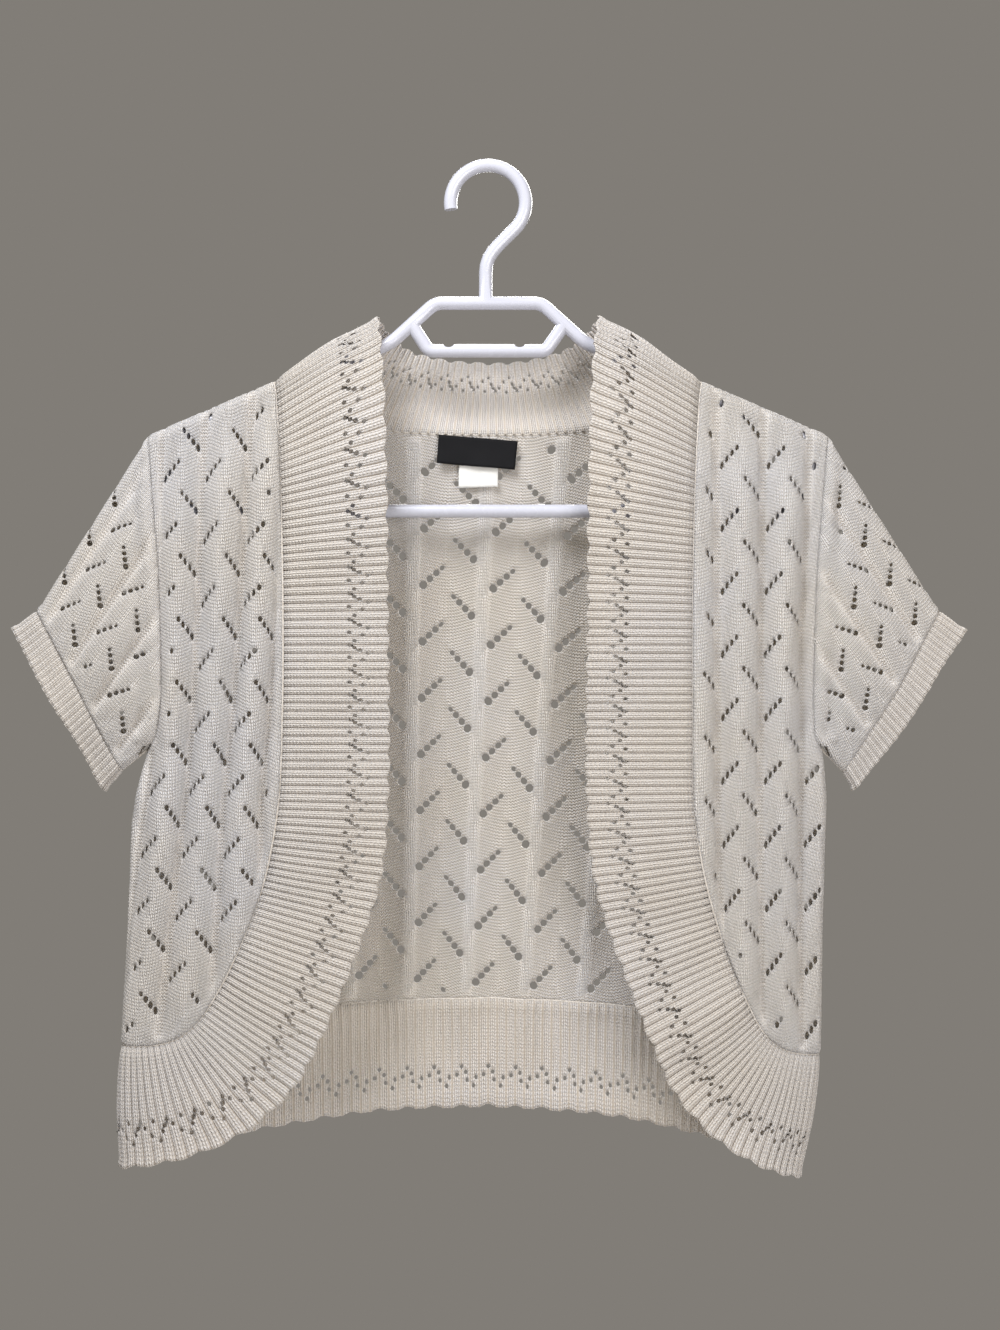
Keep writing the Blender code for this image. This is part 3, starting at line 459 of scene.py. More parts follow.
def knit_finish(name, purl_inside, depth, even_painted_shade):
    """Knit with painted shade in its valleys, by depth, over an even painted shade."""
    knit = Finish(name)
    stitch = knit.node("ShaderNodeUVMap", {"uv_map": "stitches"})
    across, down, _ = knit.split(stitch)
    place = knit.place()
    wobble = knit.noise(place, 260.0, 1.0) - 0.5
    # Each wale is two legs, and a leg's stitches slant towards the wale's middle.
    centred = (across + wobble * 0.22).math("FRACT") - 0.5
    leg = centred.math("ABSOLUTE")
    row = (down + leg * 1.1 + wobble * 0.3).math("FRACT")
    loop = (row * (2 * math.pi)).math("COSINE") * 0.5 + 0.5
    round_leg = (leg * (2 * math.pi)).math("SINE")
    plain = (loop * 0.45 + 0.55) * round_leg.math("POWER", 0.6)
    ripple = (across * (2 * math.pi)).math("SINE") * 0.2
    purl_row = (down + ripple + wobble * 0.35) * (2 * math.pi)
    bead = (across * (4 * math.pi)).math("COSINE") * 0.2 + 0.8
    purl = (purl_row.math("COSINE") * 0.5 + 0.5) * bead
    rib = knit.attribute("rib")
    if purl_inside:
        show_purl = (knit.attribute("inside") - rib).math("ABSOLUTE")
        height = plain * (1 - show_purl) + purl * show_purl
    else:
        height = (plain * 0.8 + 0.2) * (1 - rib * 0.9)
    fuzz = knit.noise(place, 900.0, 3.0, 0.7)
    cloud = knit.noise(place, 9.0, 2.0)
    # Painted shade: the lower the yarn lies in a valley, the darker its colour, by depth.
    painted_valley_shade = knit.ramp(height, (0.0, 1.0), (0.85, 0.0))
    cooled = knit.blend(knit.ramp(cloud, (0.38, 0.0), (0.66, 1.0)), IVORY, IVORY_COOL)
    knit.set(
        Base_Color=knit.blend(painted_valley_shade * depth + fuzz * 0.05 + even_painted_shade, cooled, IVORY_PAINTED_SHADE),
        Roughness=0.86,
        Subsurface_Weight=0.25,
        Subsurface_Radius=(1.0, 0.93, 0.82),
        Subsurface_Scale=0.004,
        Sheen_Weight=0.25,
        Sheen_Roughness=0.5,
        Sheen_Tint=(0.95, 0.93, 1.0, 1),
    )
    knit.bump(height + fuzz * 0.25, 1.0, YARN_HEIGHT)
    return knit.material


# Both knits get painted shade in their valleys; the rib's copy is also evenly darkened with painted
# shade.
LACE = knit_finish("ivory_lace_knit", True, 0.78, 0.0)
RIB = knit_finish("ivory_rib_knit", False, 0.8, 0.3)
print("finishes:", LACE.name, RIB.name)

# %% [markdown]
# From a flat drawing to cloth
#
# No operator cuts a thousand eyelets in a sheet, so the lace pieces start as a flat drawing:
# an outline, the eyelets, and points between them. Blender's constrained triangulation joins
# them, the placing function hangs them, and the solidify operator gives the yarn's thickness.

# %% Eyelets
EYELET_SIDES = 8


def eyelet(u, v, wide, tall, lean):
    loop = []
    for k in range(EYELET_SIDES):
        angle = 2 * math.pi * (k + 0.5) / EYELET_SIDES
        a, b = wide / 2 * math.cos(angle), tall / 2 * math.sin(angle)
        c, s = math.cos(lean), math.sin(lean)
        loop.append(Vector((u + a * c - b * s, v + a * s + b * c)))
    return loop


# Steps out from the rib: across (share of the pitch), up (share of the period), width and
# height (shares of the largest eyelet)
CLUSTER = (
    (0.150, 0.000, 1.12, 1.02), (0.243, 0.115, 0.88, 0.93),
    (0.333, 0.225, 0.82, 0.87), (0.413, 0.322, 0.60, 0.70),
)
STEEP_CLUSTER = (
    (0.125, 0.000, 1.10, 1.05), (0.228, 0.095, 1.00, 1.00),
    (0.328, 0.188, 0.95, 0.92), (0.425, 0.275, 0.78, 0.76),
)


def lace_eyelets(columns_at, indices, first_z, last_z, period, size, tilt=0.0, cluster=CLUSTER):
    """Eyelets of a stretch of lace: centre, width, height and lean of each."""
    eyelets = []
    for index in indices:
        count = 0
        z = first_z
        while z > last_z:
            side = -1 if count % 2 == 0 else 1
            for across, up, wide, tall in cluster:
                v = z + up * period
                middle = columns_at(index, v)
                pitch = columns_at(index + side, v) - middle
                u = middle + across * abs(pitch) * side
                jitter = noise.noise(Vector((u * 0.21, v * 0.21, index)))
                wide_now = size[0] * wide * (1 + 0.16 * jitter)
                tall_now = size[1] * tall * (1 - 0.12 * jitter)
                lean = -side * size[2]
                eyelets.append((u, v - tilt * u, wide_now, tall_now, lean))
            z -= period / 2
            count += 1
    return eyelets


# %% Which points are inside


class Outline:
    """A closed flat outline with quick tests of inside and distance."""

    def __init__(self, loop):
        self.loop = [Vector(point) for point in loop]
        dense = []
        for a, b in zip(self.loop, self.loop[1:] + self.loop[:1]):
            count = max(1, int((b - a).length / 1.5))
            dense += [a.lerp(b, i / count) for i in range(count)]
        self.tree = KDTree(len(dense))
        for index, point in enumerate(dense):
            self.tree.insert(point.to_3d(), index)
        self.tree.balance()

    def distance(self, u, v):
        return self.tree.find(Vector((u, v, 0)))[2]

    def holds(self, u, v):
        inside = False
        for a, b in zip(self.loop, self.loop[1:] + self.loop[:1]):
            if (a.y > v) != (b.y > v) and u < a.x + (b.x - a.x) * (v - a.y) / (b.y - a.y):
                inside = not inside
        return inside


def finer(loop, step):
    """The outline with points at most a step apart."""
    points = []
    for a, b in zip(loop, loop[1:] + loop[:1]):
        a, b = Vector(a), Vector(b)
        count = max(1, math.ceil((b - a).length / step))
        points += [a.lerp(b, i / count) for i in range(count)]
    return points


# %% The sheet itself
STRAY_REACH = 1.6


def add_object(name, data):
    thing = bpy.data.objects.new(name, data)
    bpy.context.collection.objects.link(thing)
    return thing


def add_mesh(name, bm):
    mesh = bpy.data.meshes.new(name)
    bm.to_mesh(mesh)
    bm.free()
    return add_object(name, mesh)


def finish_object(piece, material):
    """Give a piece its finish, and let it ride on the part's one body."""
    mesh = piece.data
    mesh.materials.clear()
    mesh.materials.append(material)
    mesh.shade_smooth()
    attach(piece, "root")
    triangles = sum(len(p.vertices) - 2 for p in mesh.polygons)
    print(f"{piece.name}: {triangles} triangles")


def finish_piece(name, bm, material):
    """Scale a bmesh from millimetres to metres, and make it a piece."""
    bmesh.ops.scale(bm, vec=(MM, MM, MM), verts=bm.verts[:])
    piece = add_mesh(name, bm)
    finish_object(piece, material)
    return piece


def thicken(bm, wall):
    """Give a sheet its wall, half to each side, and mark the inner face."""
    inside = bm.verts.layers.float.get("inside") or bm.verts.layers.float.new("inside")
    bm.normal_update()
    for vert, normal in [(v, v.normal.copy()) for v in bm.verts]:
        vert.co += normal * wall / 2
    outer = KDTree(len(bm.verts))
    for index, vert in enumerate(bm.verts):
        outer.insert(vert.co, index)
    outer.balance()
    made = bmesh.ops.solidify(bm, geom=bm.faces[:], thickness=wall)
    inner = [item for item in made["geom"] if isinstance(item, bmesh.types.BMVert)]
    for vert in inner:
        vert[inside] = 1.0
    # At a sharp crease the operator can throw a point far out; it goes back to its neighbours.
    stray = {vert for vert in inner if outer.find(vert.co)[2] > STRAY_REACH * wall}
    for vert in stray:
        near = [edge.other_vert(vert) for edge in vert.link_edges]
        near = [other for other in near if other not in stray and other[inside]]
        if near:
            vert.co = sum((other.co for other in near), Vector()) / len(near)
    print("points put back:", len(stray))
    bm.normal_update()


def lace_sheet(outline, eyelets, spacing, place, stitches, flip=False, edge_gap=4.0):
    """A flat lace piece, cut, hung and thickened.

    place(u, v) gives the hung point of the cloth's middle, its lift and its rib share, and
    stitches(u, v, at_u, at_v) the stitch count at a corner of the face round (at_u, at_v).
    """
    border = Outline(outline)
    kept = []
    for u, v, wide, tall, lean in eyelets:
        if border.holds(u, v) and border.distance(u, v) > edge_gap + max(wide, tall) / 2:
            kept.append((u, v, wide, tall, lean))
    near = KDTree(max(1, len(kept)))
    for index, (u, v, *_) in enumerate(kept):
        near.insert(Vector((u, v, 0)), index)
    near.balance()
    flat = [point.copy() for point in border.loop]
    edges = [(i, (i + 1) % len(flat)) for i in range(len(flat))]
    for hole in kept:
        loop = eyelet(*hole)
        first = len(flat)
        flat += loop
        edges += [(first + i, first + (i + 1) % len(loop)) for i in range(len(loop))]
    us = [p.x for p in border.loop]
    vs = [p.y for p in border.loop]
    rows = int((max(vs) - min(vs)) / spacing[1])
    columns = int((max(us) - min(us)) / spacing[0]) + 1
    for j in range(1, rows + 1):
        v = min(vs) + j * spacing[1]
        for i in range(columns + 1):
            u = min(us) + (i + 0.5 * (j % 2)) * spacing[0]
            if border.distance(u, v) < spacing[0] * 0.6 or not border.holds(u, v):
                continue
            clear = True
            for _, index, away in near.find_n(Vector((u, v, 0)), 2) if kept else ():
                hole = kept[index]
                clear = clear and away > max(hole[2], hole[3]) / 2 + spacing[0] * 0.35
            if clear:
                flat.append(Vector((u, v)))
    drawn, _, triangles, *_ = delaunay_2d_cdt(flat, edges, [], 1, 1e-5)
    bm = bmesh.new()
    rib = bm.verts.layers.float.new("rib")
    lift = bm.verts.layers.float.new("lift")
    bm.verts.layers.float.new("inside")
    uv = bm.loops.layers.uv.new("stitches")
    verts = []
    for point in drawn:
        hung, rise, share = place(point.x, point.y)
        vert = bm.verts.new(hung)
        vert[lift] = rise
        vert[rib] = share
        verts.append(vert)
    for corners in triangles:
        middle = sum((drawn[i] for i in corners), Vector((0, 0))) / 3
        if kept:
            _, index, _ = near.find(Vector((middle.x, middle.y, 0)))
            if in_eyelet(kept[index], middle):
                continue
        if flip:
            corners = corners[::-1]
        face = bm.faces.new([verts[i] for i in corners])
        for loop, i in zip(face.loops, corners):
            loop[uv].uv = stitches(drawn[i].x, drawn[i].y, middle.x, middle.y)
    bmesh.ops.delete(bm, geom=[v for v in bm.verts if not v.link_faces], context="VERTS")
    bmesh.ops.remove_doubles(bm, verts=bm.verts[:], dist=0.02)
    bm.normal_update()
    for vert, normal in [(v, v.normal.copy()) for v in bm.verts]:
        vert.co += normal * vert[lift]
    thicken(bm, WALL)
    return bm, kept


def in_eyelet(hole, point):
    u, v, wide, tall, lean = hole
    x, y = point.x - u, point.y - v
    a = x * math.cos(lean) + y * math.sin(lean)
    b = -x * math.sin(lean) + y * math.cos(lean)
    return (2 * a / wide) ** 2 + (2 * b / tall) ** 2 < 0.93


# %% [markdown]
# Leaves in relief
#
# The eyelets and the decreases beside them pull the knit into leaves. Each leaf swells below
# its slanting row of eyelets and sinks towards the next one, and the rib between two leaves
# lies low on the right side. The relief is a function of the place in the repeat.

# %% Relief and stitch count of the lace
# A leaf's lower line starts this far from the rib, and climbs by this slope (shares of the repeat)
LEAF_START = 0.14
LEAF_SLOPE = 1.37


def leaf_share(across, down):
    """Swelling of a leaf: across is 0 at the rib and 0.5 between ribs."""

    def own(distance, phase):
        line = -(distance - LEAF_START) * LEAF_SLOPE
        q = (phase - line) % 1.0
        return math.sin(math.pi * q ** 0.7) ** 0.8

    side = 1 if across > 0 else -1
    distance = abs(across)
    phase = down if side < 0 else down - 0.5
    other = down if side > 0 else down - 0.5
    share = own(distance, phase)
    join = 0.5 * ease((distance - 0.34) / 0.16)
    return mix(share, own(1 - distance, other), join) * ease((distance - 0.05) / 0.14)


def rib_share(across):
    """1 on the plain rib between the leaves, 0 away from it."""
    return 1 - ease((abs(across) - 0.075) / 0.035)


def lace_relief(phase, down, height):
    across = phase - round(phase)
    leaf = leaf_share(across, down) * height
    return leaf - (0.4 + 0.4 * height) * math.exp(-((across / 0.085) ** 2))


def slant(phase, down, at_phase, at_down, period):
    """How far the wales have slid sideways since the last eyelets, at a face's corner.

    (at_phase, at_down) is the face's middle, so a face never spans two leaves.
    """
    index = round(at_phase)
    side = 1 if at_phase > index else -1
    start = 0.5 if side > 0 else 0.0
    at_q = (at_down - start + (abs(at_phase - index) - LEAF_START) * LEAF_SLOPE) % 1.0
    q = down - start + (abs(phase - index) - LEAF_START) * LEAF_SLOPE
    q = at_q + (q - at_q + 0.5) % 1.0 - 0.5
    lean = math.sin(2 * math.pi * min(abs(phase - index), 0.5)) * 0.16
    return side * lean * (q - 0.5) * period


def row_bend(phase, period):
    """Rows dip at the ribs and rise between them, because the eyelets pull them round."""
    return 0.055 * period * math.cos(2 * math.pi * phase)


# %% [markdown]
# Outlines of the cut pieces
#
# The back is one piece from neck to hem band and from armhole to armhole. Each front is a
# narrow piece between the armhole, the side seam and the long curve of the band.

# %% Seam lines


def seam_rows(table):
    return [(row[0],) + to_flat(row[1], row[2]) + tuple(row[3:]) for row in table]


NECK_ROWS = seam_rows(NECK_BAND)
FRONT_ROWS = seam_rows(FRONT_BAND)
HEM_ROWS = seam_rows(HEM_BAND)


def armhole_rows():
    first = to_flat(SHOULDER_TIP_X, shoulder_z(SHOULDER_TIP_X))
    points = [first] + list(ARMHOLE) + [to_flat(UNDERARM_X, UNDERARM_Z)]
    rows = [(0.0,) + tuple(points[0])]
    for before, after in zip(points, points[1:]):
        rows.append((rows[-1][0] + math.dist(before, after),) + tuple(after))
    return rows


ARMHOLE_ROWS = armhole_rows()
ARMHOLE_LENGTH = ARMHOLE_ROWS[-1][0]


def steps(first, last, count):
    return [mix(first, last, i / count) for i in range(count + 1)]


def curve_points(rows, keys):
    return [tuple(read_curve(rows, key)[:2]) for key in keys]


def mirrored(points):
    return [(-u, v) for u, v in reversed(points)]


ARMHOLE_FLAT = curve_points(ARMHOLE_ROWS, steps(0, ARMHOLE_LENGTH, 70))
SIDE_FLAT = [to_flat(side_x(z), z) for z in steps(UNDERARM_Z, HEM_CORNER_Z, 60)]


def front_outline():
    seam = curve_points(FRONT_ROWS, steps(SHOULDER_SCALLOP, BAND_SCALLOPS, 210))
    return seam + SIDE_FLAT[-2:0:-1] + ARMHOLE_FLAT[::-1]


def back_outline():
    neck = curve_points(NECK_ROWS, steps(0, SHOULDER_SCALLOP, 54))
    hem = curve_points(HEM_ROWS, steps(0, HEM_SCALLOPS, 90))
    right = hem + SIDE_FLAT[-2:0:-1] + ARMHOLE_FLAT[::-1] + neck[::-1]
    return right + mirrored(right[1:-1])


# %% Seam rolls
SEAM_ROLL = 0.9


def near_seam(border, u, v):
    """Relief dies out at a seam, and the seam allowance behind it lifts the edge."""
    away = border.distance(u, v)
    roll = SEAM_ROLL * math.exp(-(((away - 2.2) / 1.8) ** 2))
    return ease((away - 1.0) / 6.0), roll


# %% [markdown]
# The back
#
# The back is seen from inside through the open front, where its ribs stand out smooth against
# wavy purl rows, and from behind, where the leaves stand out.

# %% Back panel
# Largest eyelet (width, height, lean), relief, size of a stitch, spacing of the mesh
BACK_EYELET = (5.3, 5.3, math.radians(42))
BACK_RELIEF = 0.9
BACK_STITCH = (2.1, 2.03)
BACK_SPACING = (2.25, 2.15)


def build_back():
    outline = finer(back_outline(), 2.6)
    border = Outline(outline)
    eyelets = lace_eyelets(
        back_column, range(-6, 7), BACK_EYELET_Z + BACK_PERIOD, LACE_BOTTOM_Z, BACK_PERIOD,
        BACK_EYELET, BACK_TILT,
    )

    def down_at(u, v):
        return ((BACK_EYELET_Z - v - BACK_TILT * u) / BACK_PERIOD) % 1.0

    def place(u, v):
        phase = column_phase(u, v, 1)
        fade, roll = near_seam(border, u, v)
        lift = lace_relief(phase, down_at(u, v), BACK_RELIEF) * fade + roll * 0.4
        return hang_body(u, v, 1), lift, rib_share(phase - round(phase)) * fade

    def stitches(u, v, at_u, at_v):
        phase = column_phase(u, v, 1)
        at = column_phase(at_u, at_v, 1), down_at(at_u, at_v)
        shift = slant(phase, down_at(u, v), *at, BACK_PERIOD)
        wales = (u + shift) / BACK_STITCH[0]
        return wales, (row_bend(phase, BACK_PERIOD) - v) / BACK_STITCH[1]

    bm, kept = lace_sheet(outline, eyelets, BACK_SPACING, place, stitches, True)
    piece = finish_piece("back_panel_knit", bm, LACE)
    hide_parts("back_panel")
    print("eyelets in the back:", len(kept))


build_back()

# %% [markdown]
# The fronts
#
# The fronts carry the same lace, pushed together by the weight that hangs from the hanger's
# arms: the columns are narrow, the eyelets close to slits, and the leaves stand out more.

# %% Front panels
FRONT_EYELET = (2.5, 5.2, math.radians(6))
FRONT_RELIEF = 2.4
FRONT_STITCH = (1.75, 2.2)
FRONT_SPACING = (1.8, 2.0)


def front_column(side, index, z):
    """x of a front's lace column, counted from the band; one more is guessed at each end."""
    columns = [read_table(FRONT_LACE[side], z, i) for i in (1, 2, 3, 4)]
    columns = [2 * columns[0] - columns[1]] + columns + [2 * columns[3] - columns[2]]
    return side * columns[min(max(index + 1, 0), 5)]


def build_front(name, side, node):
    outline = front_outline()
    if side < 0:
        outline = mirrored(outline)
    outline = finer(outline, 2.4)
    border = Outline(outline)
    eyelets = lace_eyelets(
        lambda index, z: front_column(side, index, z), range(4),
        FRONT_EYELET_Z[side] + FRONT_PERIOD, LACE_BOTTOM_Z, FRONT_PERIOD, FRONT_EYELET,
        cluster=STEEP_CLUSTER,
    )

    def down_at(v):
        return ((FRONT_EYELET_Z[side] - v) / FRONT_PERIOD) % 1.0

    def place(u, v):
        phase = column_phase(u, v, -1)
        fade, roll = near_seam(border, u, v)
        lift = lace_relief(phase, down_at(v), FRONT_RELIEF) * fade + roll
        return hang_body(u, v, -1), lift, rib_share(phase - round(phase)) * fade

    def stitches(u, v, at_u, at_v):
        phase = column_phase(u, v, -1)
        at = column_phase(at_u, at_v, -1), down_at(at_v)
        shift = slant(phase, down_at(v), *at, FRONT_PERIOD) * 0.6
        wales = (u + shift) / FRONT_STITCH[0]
        return wales, (row_bend(phase, FRONT_PERIOD) - v) / FRONT_STITCH[1]

    bm, kept = lace_sheet(outline, eyelets, FRONT_SPACING, place, stitches)
    piece = finish_piece(name, bm, LACE)
    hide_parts(node)
    print("eyelets in", name, len(kept))


build_front("front_left_knit", -1, "front_left")
build_front("front_right_knit", 1, "front_right")

# %% [markdown]
# The sleeves
#
# A sleeve is one piece, sewn into the armhole round its top and closed by a short seam under
# the arm. Its lace columns run along the arm, so on the hanger they slant. Flat, it is drawn
# with the top fold as its middle line: `b` runs round the arm, to the front for b > 0, and `a`
# runs from the shoulder to the cuff.

# %% Sleeve form
CUFF_SEAM = (Vector((288.0, 1.0, -281.6)), Vector((231.5, 3.0, -383.0)))
CUFF_EDGE = (Vector((304.6, 1.0, -293.8)), Vector((241.0, 4.0, -395.5)))
CUFF_BULGE = (6.0, 8.0)
SLEEVE_BULGE = 4.0
SLEEVE_PERIOD = 30.0
# First column and pitch across the sleeve, and the first eyelet along it, by side
SLEEVE_LACE = {-1: (12.0, 27.7, 21.0), 1: (24.4, 27.0, 14.0)}
RULINGS = 60


def half_total(ends):
    return (ends[1] - ends[0]).length + 2 * FOLD_ALLOWANCE


def pressed_section(ends, bulge, face, arc):
    """Point round a tube pressed flat between its top and bottom folds."""
    width = (ends[1] - ends[0]).length
    total = half_total(ends)
    if arc <= total / 2:
        distance, depth = fold_shift(arc)
    else:
        distance, depth = fold_shift(total - arc)
        distance = width - distance
    depth += bulge * math.sin(math.pi * arc / total) ** 2
    return ends[0].lerp(ends[1], distance / width) + Vector((0, face * depth, 0))


def arc_at_cuff(arc):
    cuff = half_total(CUFF_SEAM)
    if arc < FOLD_ARC:
        return arc
    if arc > ARMHOLE_LENGTH - FOLD_ARC:
        return cuff - (ARMHOLE_LENGTH - arc)
    run = (cuff - 2 * FOLD_ARC) / (ARMHOLE_LENGTH - 2 * FOLD_ARC)
    return FOLD_ARC + (arc - FOLD_ARC) * run


def hang_sleeve(s, arc, face, side):
    """Ruled from the armhole (s = 0) to the cuff's seam (s = 1)."""
    u, v = read_curve(ARMHOLE_ROWS, arc)
    start = hang_body(side * u, v, face)
    end = pressed_section(CUFF_SEAM, CUFF_BULGE[0], face, arc_at_cuff(arc))
    end = swing(Vector((side * end.x, end.y, end.z)))
    bulge = SLEEVE_BULGE * 4 * s * (1 - s) * math.sin(math.pi * arc / ARMHOLE_LENGTH) ** 2
    return start.lerp(end, s) + Vector((0, face * bulge, 0))


def sleeve_rulings():
    """Straight lines of the flat half sleeve: arc, armhole point, cuff point as (a, b)."""
    tip = Vector(ARMHOLE_ROWS[0][1:])
    top = Vector((CUFF_SEAM[0].x, CUFF_SEAM[0].z))
    along = (top - tip).normalized()
    across = Vector((along.y, -along.x))
    down_cuff = Vector((CUFF_SEAM[1].x - CUFF_SEAM[0].x, CUFF_SEAM[1].z - CUFF_SEAM[0].z))
    down_cuff.normalize()
    lines = []
    for i in range(RULINGS + 1):
        arc = ARMHOLE_LENGTH * i / RULINGS
        near = Vector(read_curve(ARMHOLE_ROWS, arc)) - tip
        far = top + down_cuff * arc_at_cuff(arc) - tip
        lines.append((
            arc, Vector((near.dot(along), near.dot(across))),
            Vector((far.dot(along), far.dot(across))),
        ))
    return lines


SLEEVE_LINES = sleeve_rulings()


def cross(a, b):
    return a.x * b.y - a.y * b.x


def sleeve_place(a, b):
    """(s, arc) of a flat point, from the two rulings on either side of it."""
    point = Vector((a, b))
    last = None
    for arc, near, far in SLEEVE_LINES:
        run = far - near
        away = cross(run, point - near) / run.length
        if away <= 0 and last:
            t = last[0] / (last[0] - away) if last[0] != away else 0.0
            first = last[2].lerp(near, t)
            run = last[3].lerp(far, t) - first
            return (point - first).dot(run) / run.length_squared, mix(last[1], arc, t)
        last = (max(away, 0.0), arc, near, far)
    run = last[3] - last[2]
    return (point - last[2]).dot(run) / run.length_squared, ARMHOLE_LENGTH


print("flat half sleeve:", [round(c) for line in (SLEEVE_LINES[0], SLEEVE_LINES[-1])
                            for point in line[1:] for c in point])

# %% Sleeve pieces
SLEEVE_EYELET = (3.3, 3.7, math.radians(40))
SLEEVE_RELIEF = 1.8
SLEEVE_STITCH = (1.95, 2.1)
SLEEVE_SPACING = (1.9, 1.9)
SLEEVE_EDGE_GAP = 7.0
SLEEVE_END = -200


def sleeve_outline():
    nears = [Vector((line[1].y, -line[1].x)) for line in SLEEVE_LINES]
    fars = [Vector((line[2].y, -line[2].x)) for line in SLEEVE_LINES]
    back_nears = [Vector((-p.x, p.y)) for p in nears]
    back_fars = [Vector((-p.x, p.y)) for p in fars]
    return back_nears[::-1] + nears[1:] + fars[::-1] + back_fars[1:]


def build_sleeve(name, side, word):
    outline = finer(sleeve_outline(), 2.4)
    border = Outline(outline)
    first, pitch, start = SLEEVE_LACE[side]
    eyelets = lace_eyelets(
        lambda index, z: first + index * pitch, range(-6, 5), -start, SLEEVE_END,
        SLEEVE_PERIOD, SLEEVE_EYELET,
    )

    def repeat(u, v):
        return (u - first) / pitch, ((-start - v) / SLEEVE_PERIOD) % 1.0

    def place(u, v):
        face = -1 if u >= 0 else 1
        s, arc = sleeve_place(-v, abs(u))
        phase, down = repeat(u, v)
        fade, roll = near_seam(border, u, v)
        away = border.distance(u, v)
        wave = -0.9 * math.cos(2 * math.pi * phase) * ease(away / 26)
        wave *= ease(abs(u) / 14)
        fade *= 0.25 + 0.75 * ease(abs(u) / 24)
        lift = lace_relief(phase, down, SLEEVE_RELIEF) * fade + roll + wave
        # The linked armhole rolls over, and dips beside its roll.
        if s < 0.5:
            folds = ease(arc / 30) * ease((ARMHOLE_LENGTH - arc) / 30)
            lift += 2.2 * math.exp(-(((away - 5.0) / 3.2) ** 2)) * folds
            lift -= 1.2 * math.exp(-(((away - 12.0) / 3.5) ** 2)) * folds
        lift *= 0.2 + 0.8 * ease((ARMHOLE_LENGTH - arc) / 18)
        hung = hang_sleeve(min(max(s, 0.0), 1.0), arc, face, side)
        return hung, lift, rib_share(phase - round(phase)) * fade

    def stitches(u, v, at_u, at_v):
        phase, down = repeat(u, v)
        shift = slant(phase, down, *repeat(at_u, at_v), SLEEVE_PERIOD) * 0.8
        wales = (u + shift) / SLEEVE_STITCH[0]
        return wales, (row_bend(phase, SLEEVE_PERIOD) - v) / SLEEVE_STITCH[1]

    bm, kept = lace_sheet(
        outline, eyelets, SLEEVE_SPACING, place, stitches, side > 0, SLEEVE_EDGE_GAP
    )
    piece = finish_piece(name, bm, LACE)
    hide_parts(f"sleeve_{word}_front", f"sleeve_{word}_back")
    print("eyelets in", name, len(kept))


build_sleeve("sleeve_left_knit", -1, "left")
build_sleeve("sleeve_right_knit", 1, "right")

# %% [markdown]
# The ribbed bands
#
# The band is knitted in a rib, two smooth wales and a narrow sunken one between. Three ribs
# make one scallop of its edge, and a zigzag of eyelets runs along each scallop. A grid makes
# the strip: its columns follow the ribs, its rows run along the garment's edge.

# %% Ribs
RIB_HEIGHTS = (0.0, 0.7, 1.0, 0.85, 1.0, 0.7)
PER_RIB = len(RIB_HEIGHTS)
PER_SCALLOP = 3 * PER_RIB
BAND_SHARES = steps(0, 0.6, 6) + [0.6 + 0.025 * i for i in range(1, 17)]
# Column in the scallop, and share of the width, of each eyelet of the two zigzags
FRONT_ZIGZAG = ((0, 0.825), (2, 0.75), (4, 0.7), (6, 0.65), (9, 0.7), (13, 0.775), (15, 0.65))
HEM_ZIGZAG = ((0, 0.65), (15, 0.725), (3, 0.7), (4, 0.775), (10, 0.75), (8, 0.825))
SCALLOP_RISE = 2.2
RIB_LIFT = 1.5
RIB_LEVEL = 0.6
BAND_CROWN = 10.0
BAND_RUFFLE = 3.2
EDGE_CURL = 1.2
SEAM_DIP = 0.8
ROW_PITCH = 2.2
BAND_WIDTH = 67.0


def band_section(rows, key, face):
    """Seam point, seam normal and edge point of a band at one scallop key."""
    side = -1.0 if key < 0 else 1.0
    u, v, edge_x, edge_y, edge_z = read_curve(rows, abs(key))
    seam = hang_body(side * u, v, face)
    normal = normal_at(hang_body, side * u, v, face)
    return seam, normal, swing(Vector((side * edge_x, edge_y, edge_z)))


def with_edge_normals(sections):
    """Add the strip's own normal at its edge; the ends go on round the side seam."""
    whole = []
    for index, (seam, normal, edge) in enumerate(sections):
        before = sections[max(index - 4, 0)]
        after = sections[min(index + 4, len(sections) - 1)]
        run = (after[0] + after[2]) - (before[0] + before[2])
        if index < 8 or index > len(sections) - 9:
            run.x *= 0.3
        across = run.cross(edge - seam).normalized()
        whole.append((seam, normal, edge, across if across.dot(normal) > 0 else -across))
    return whole


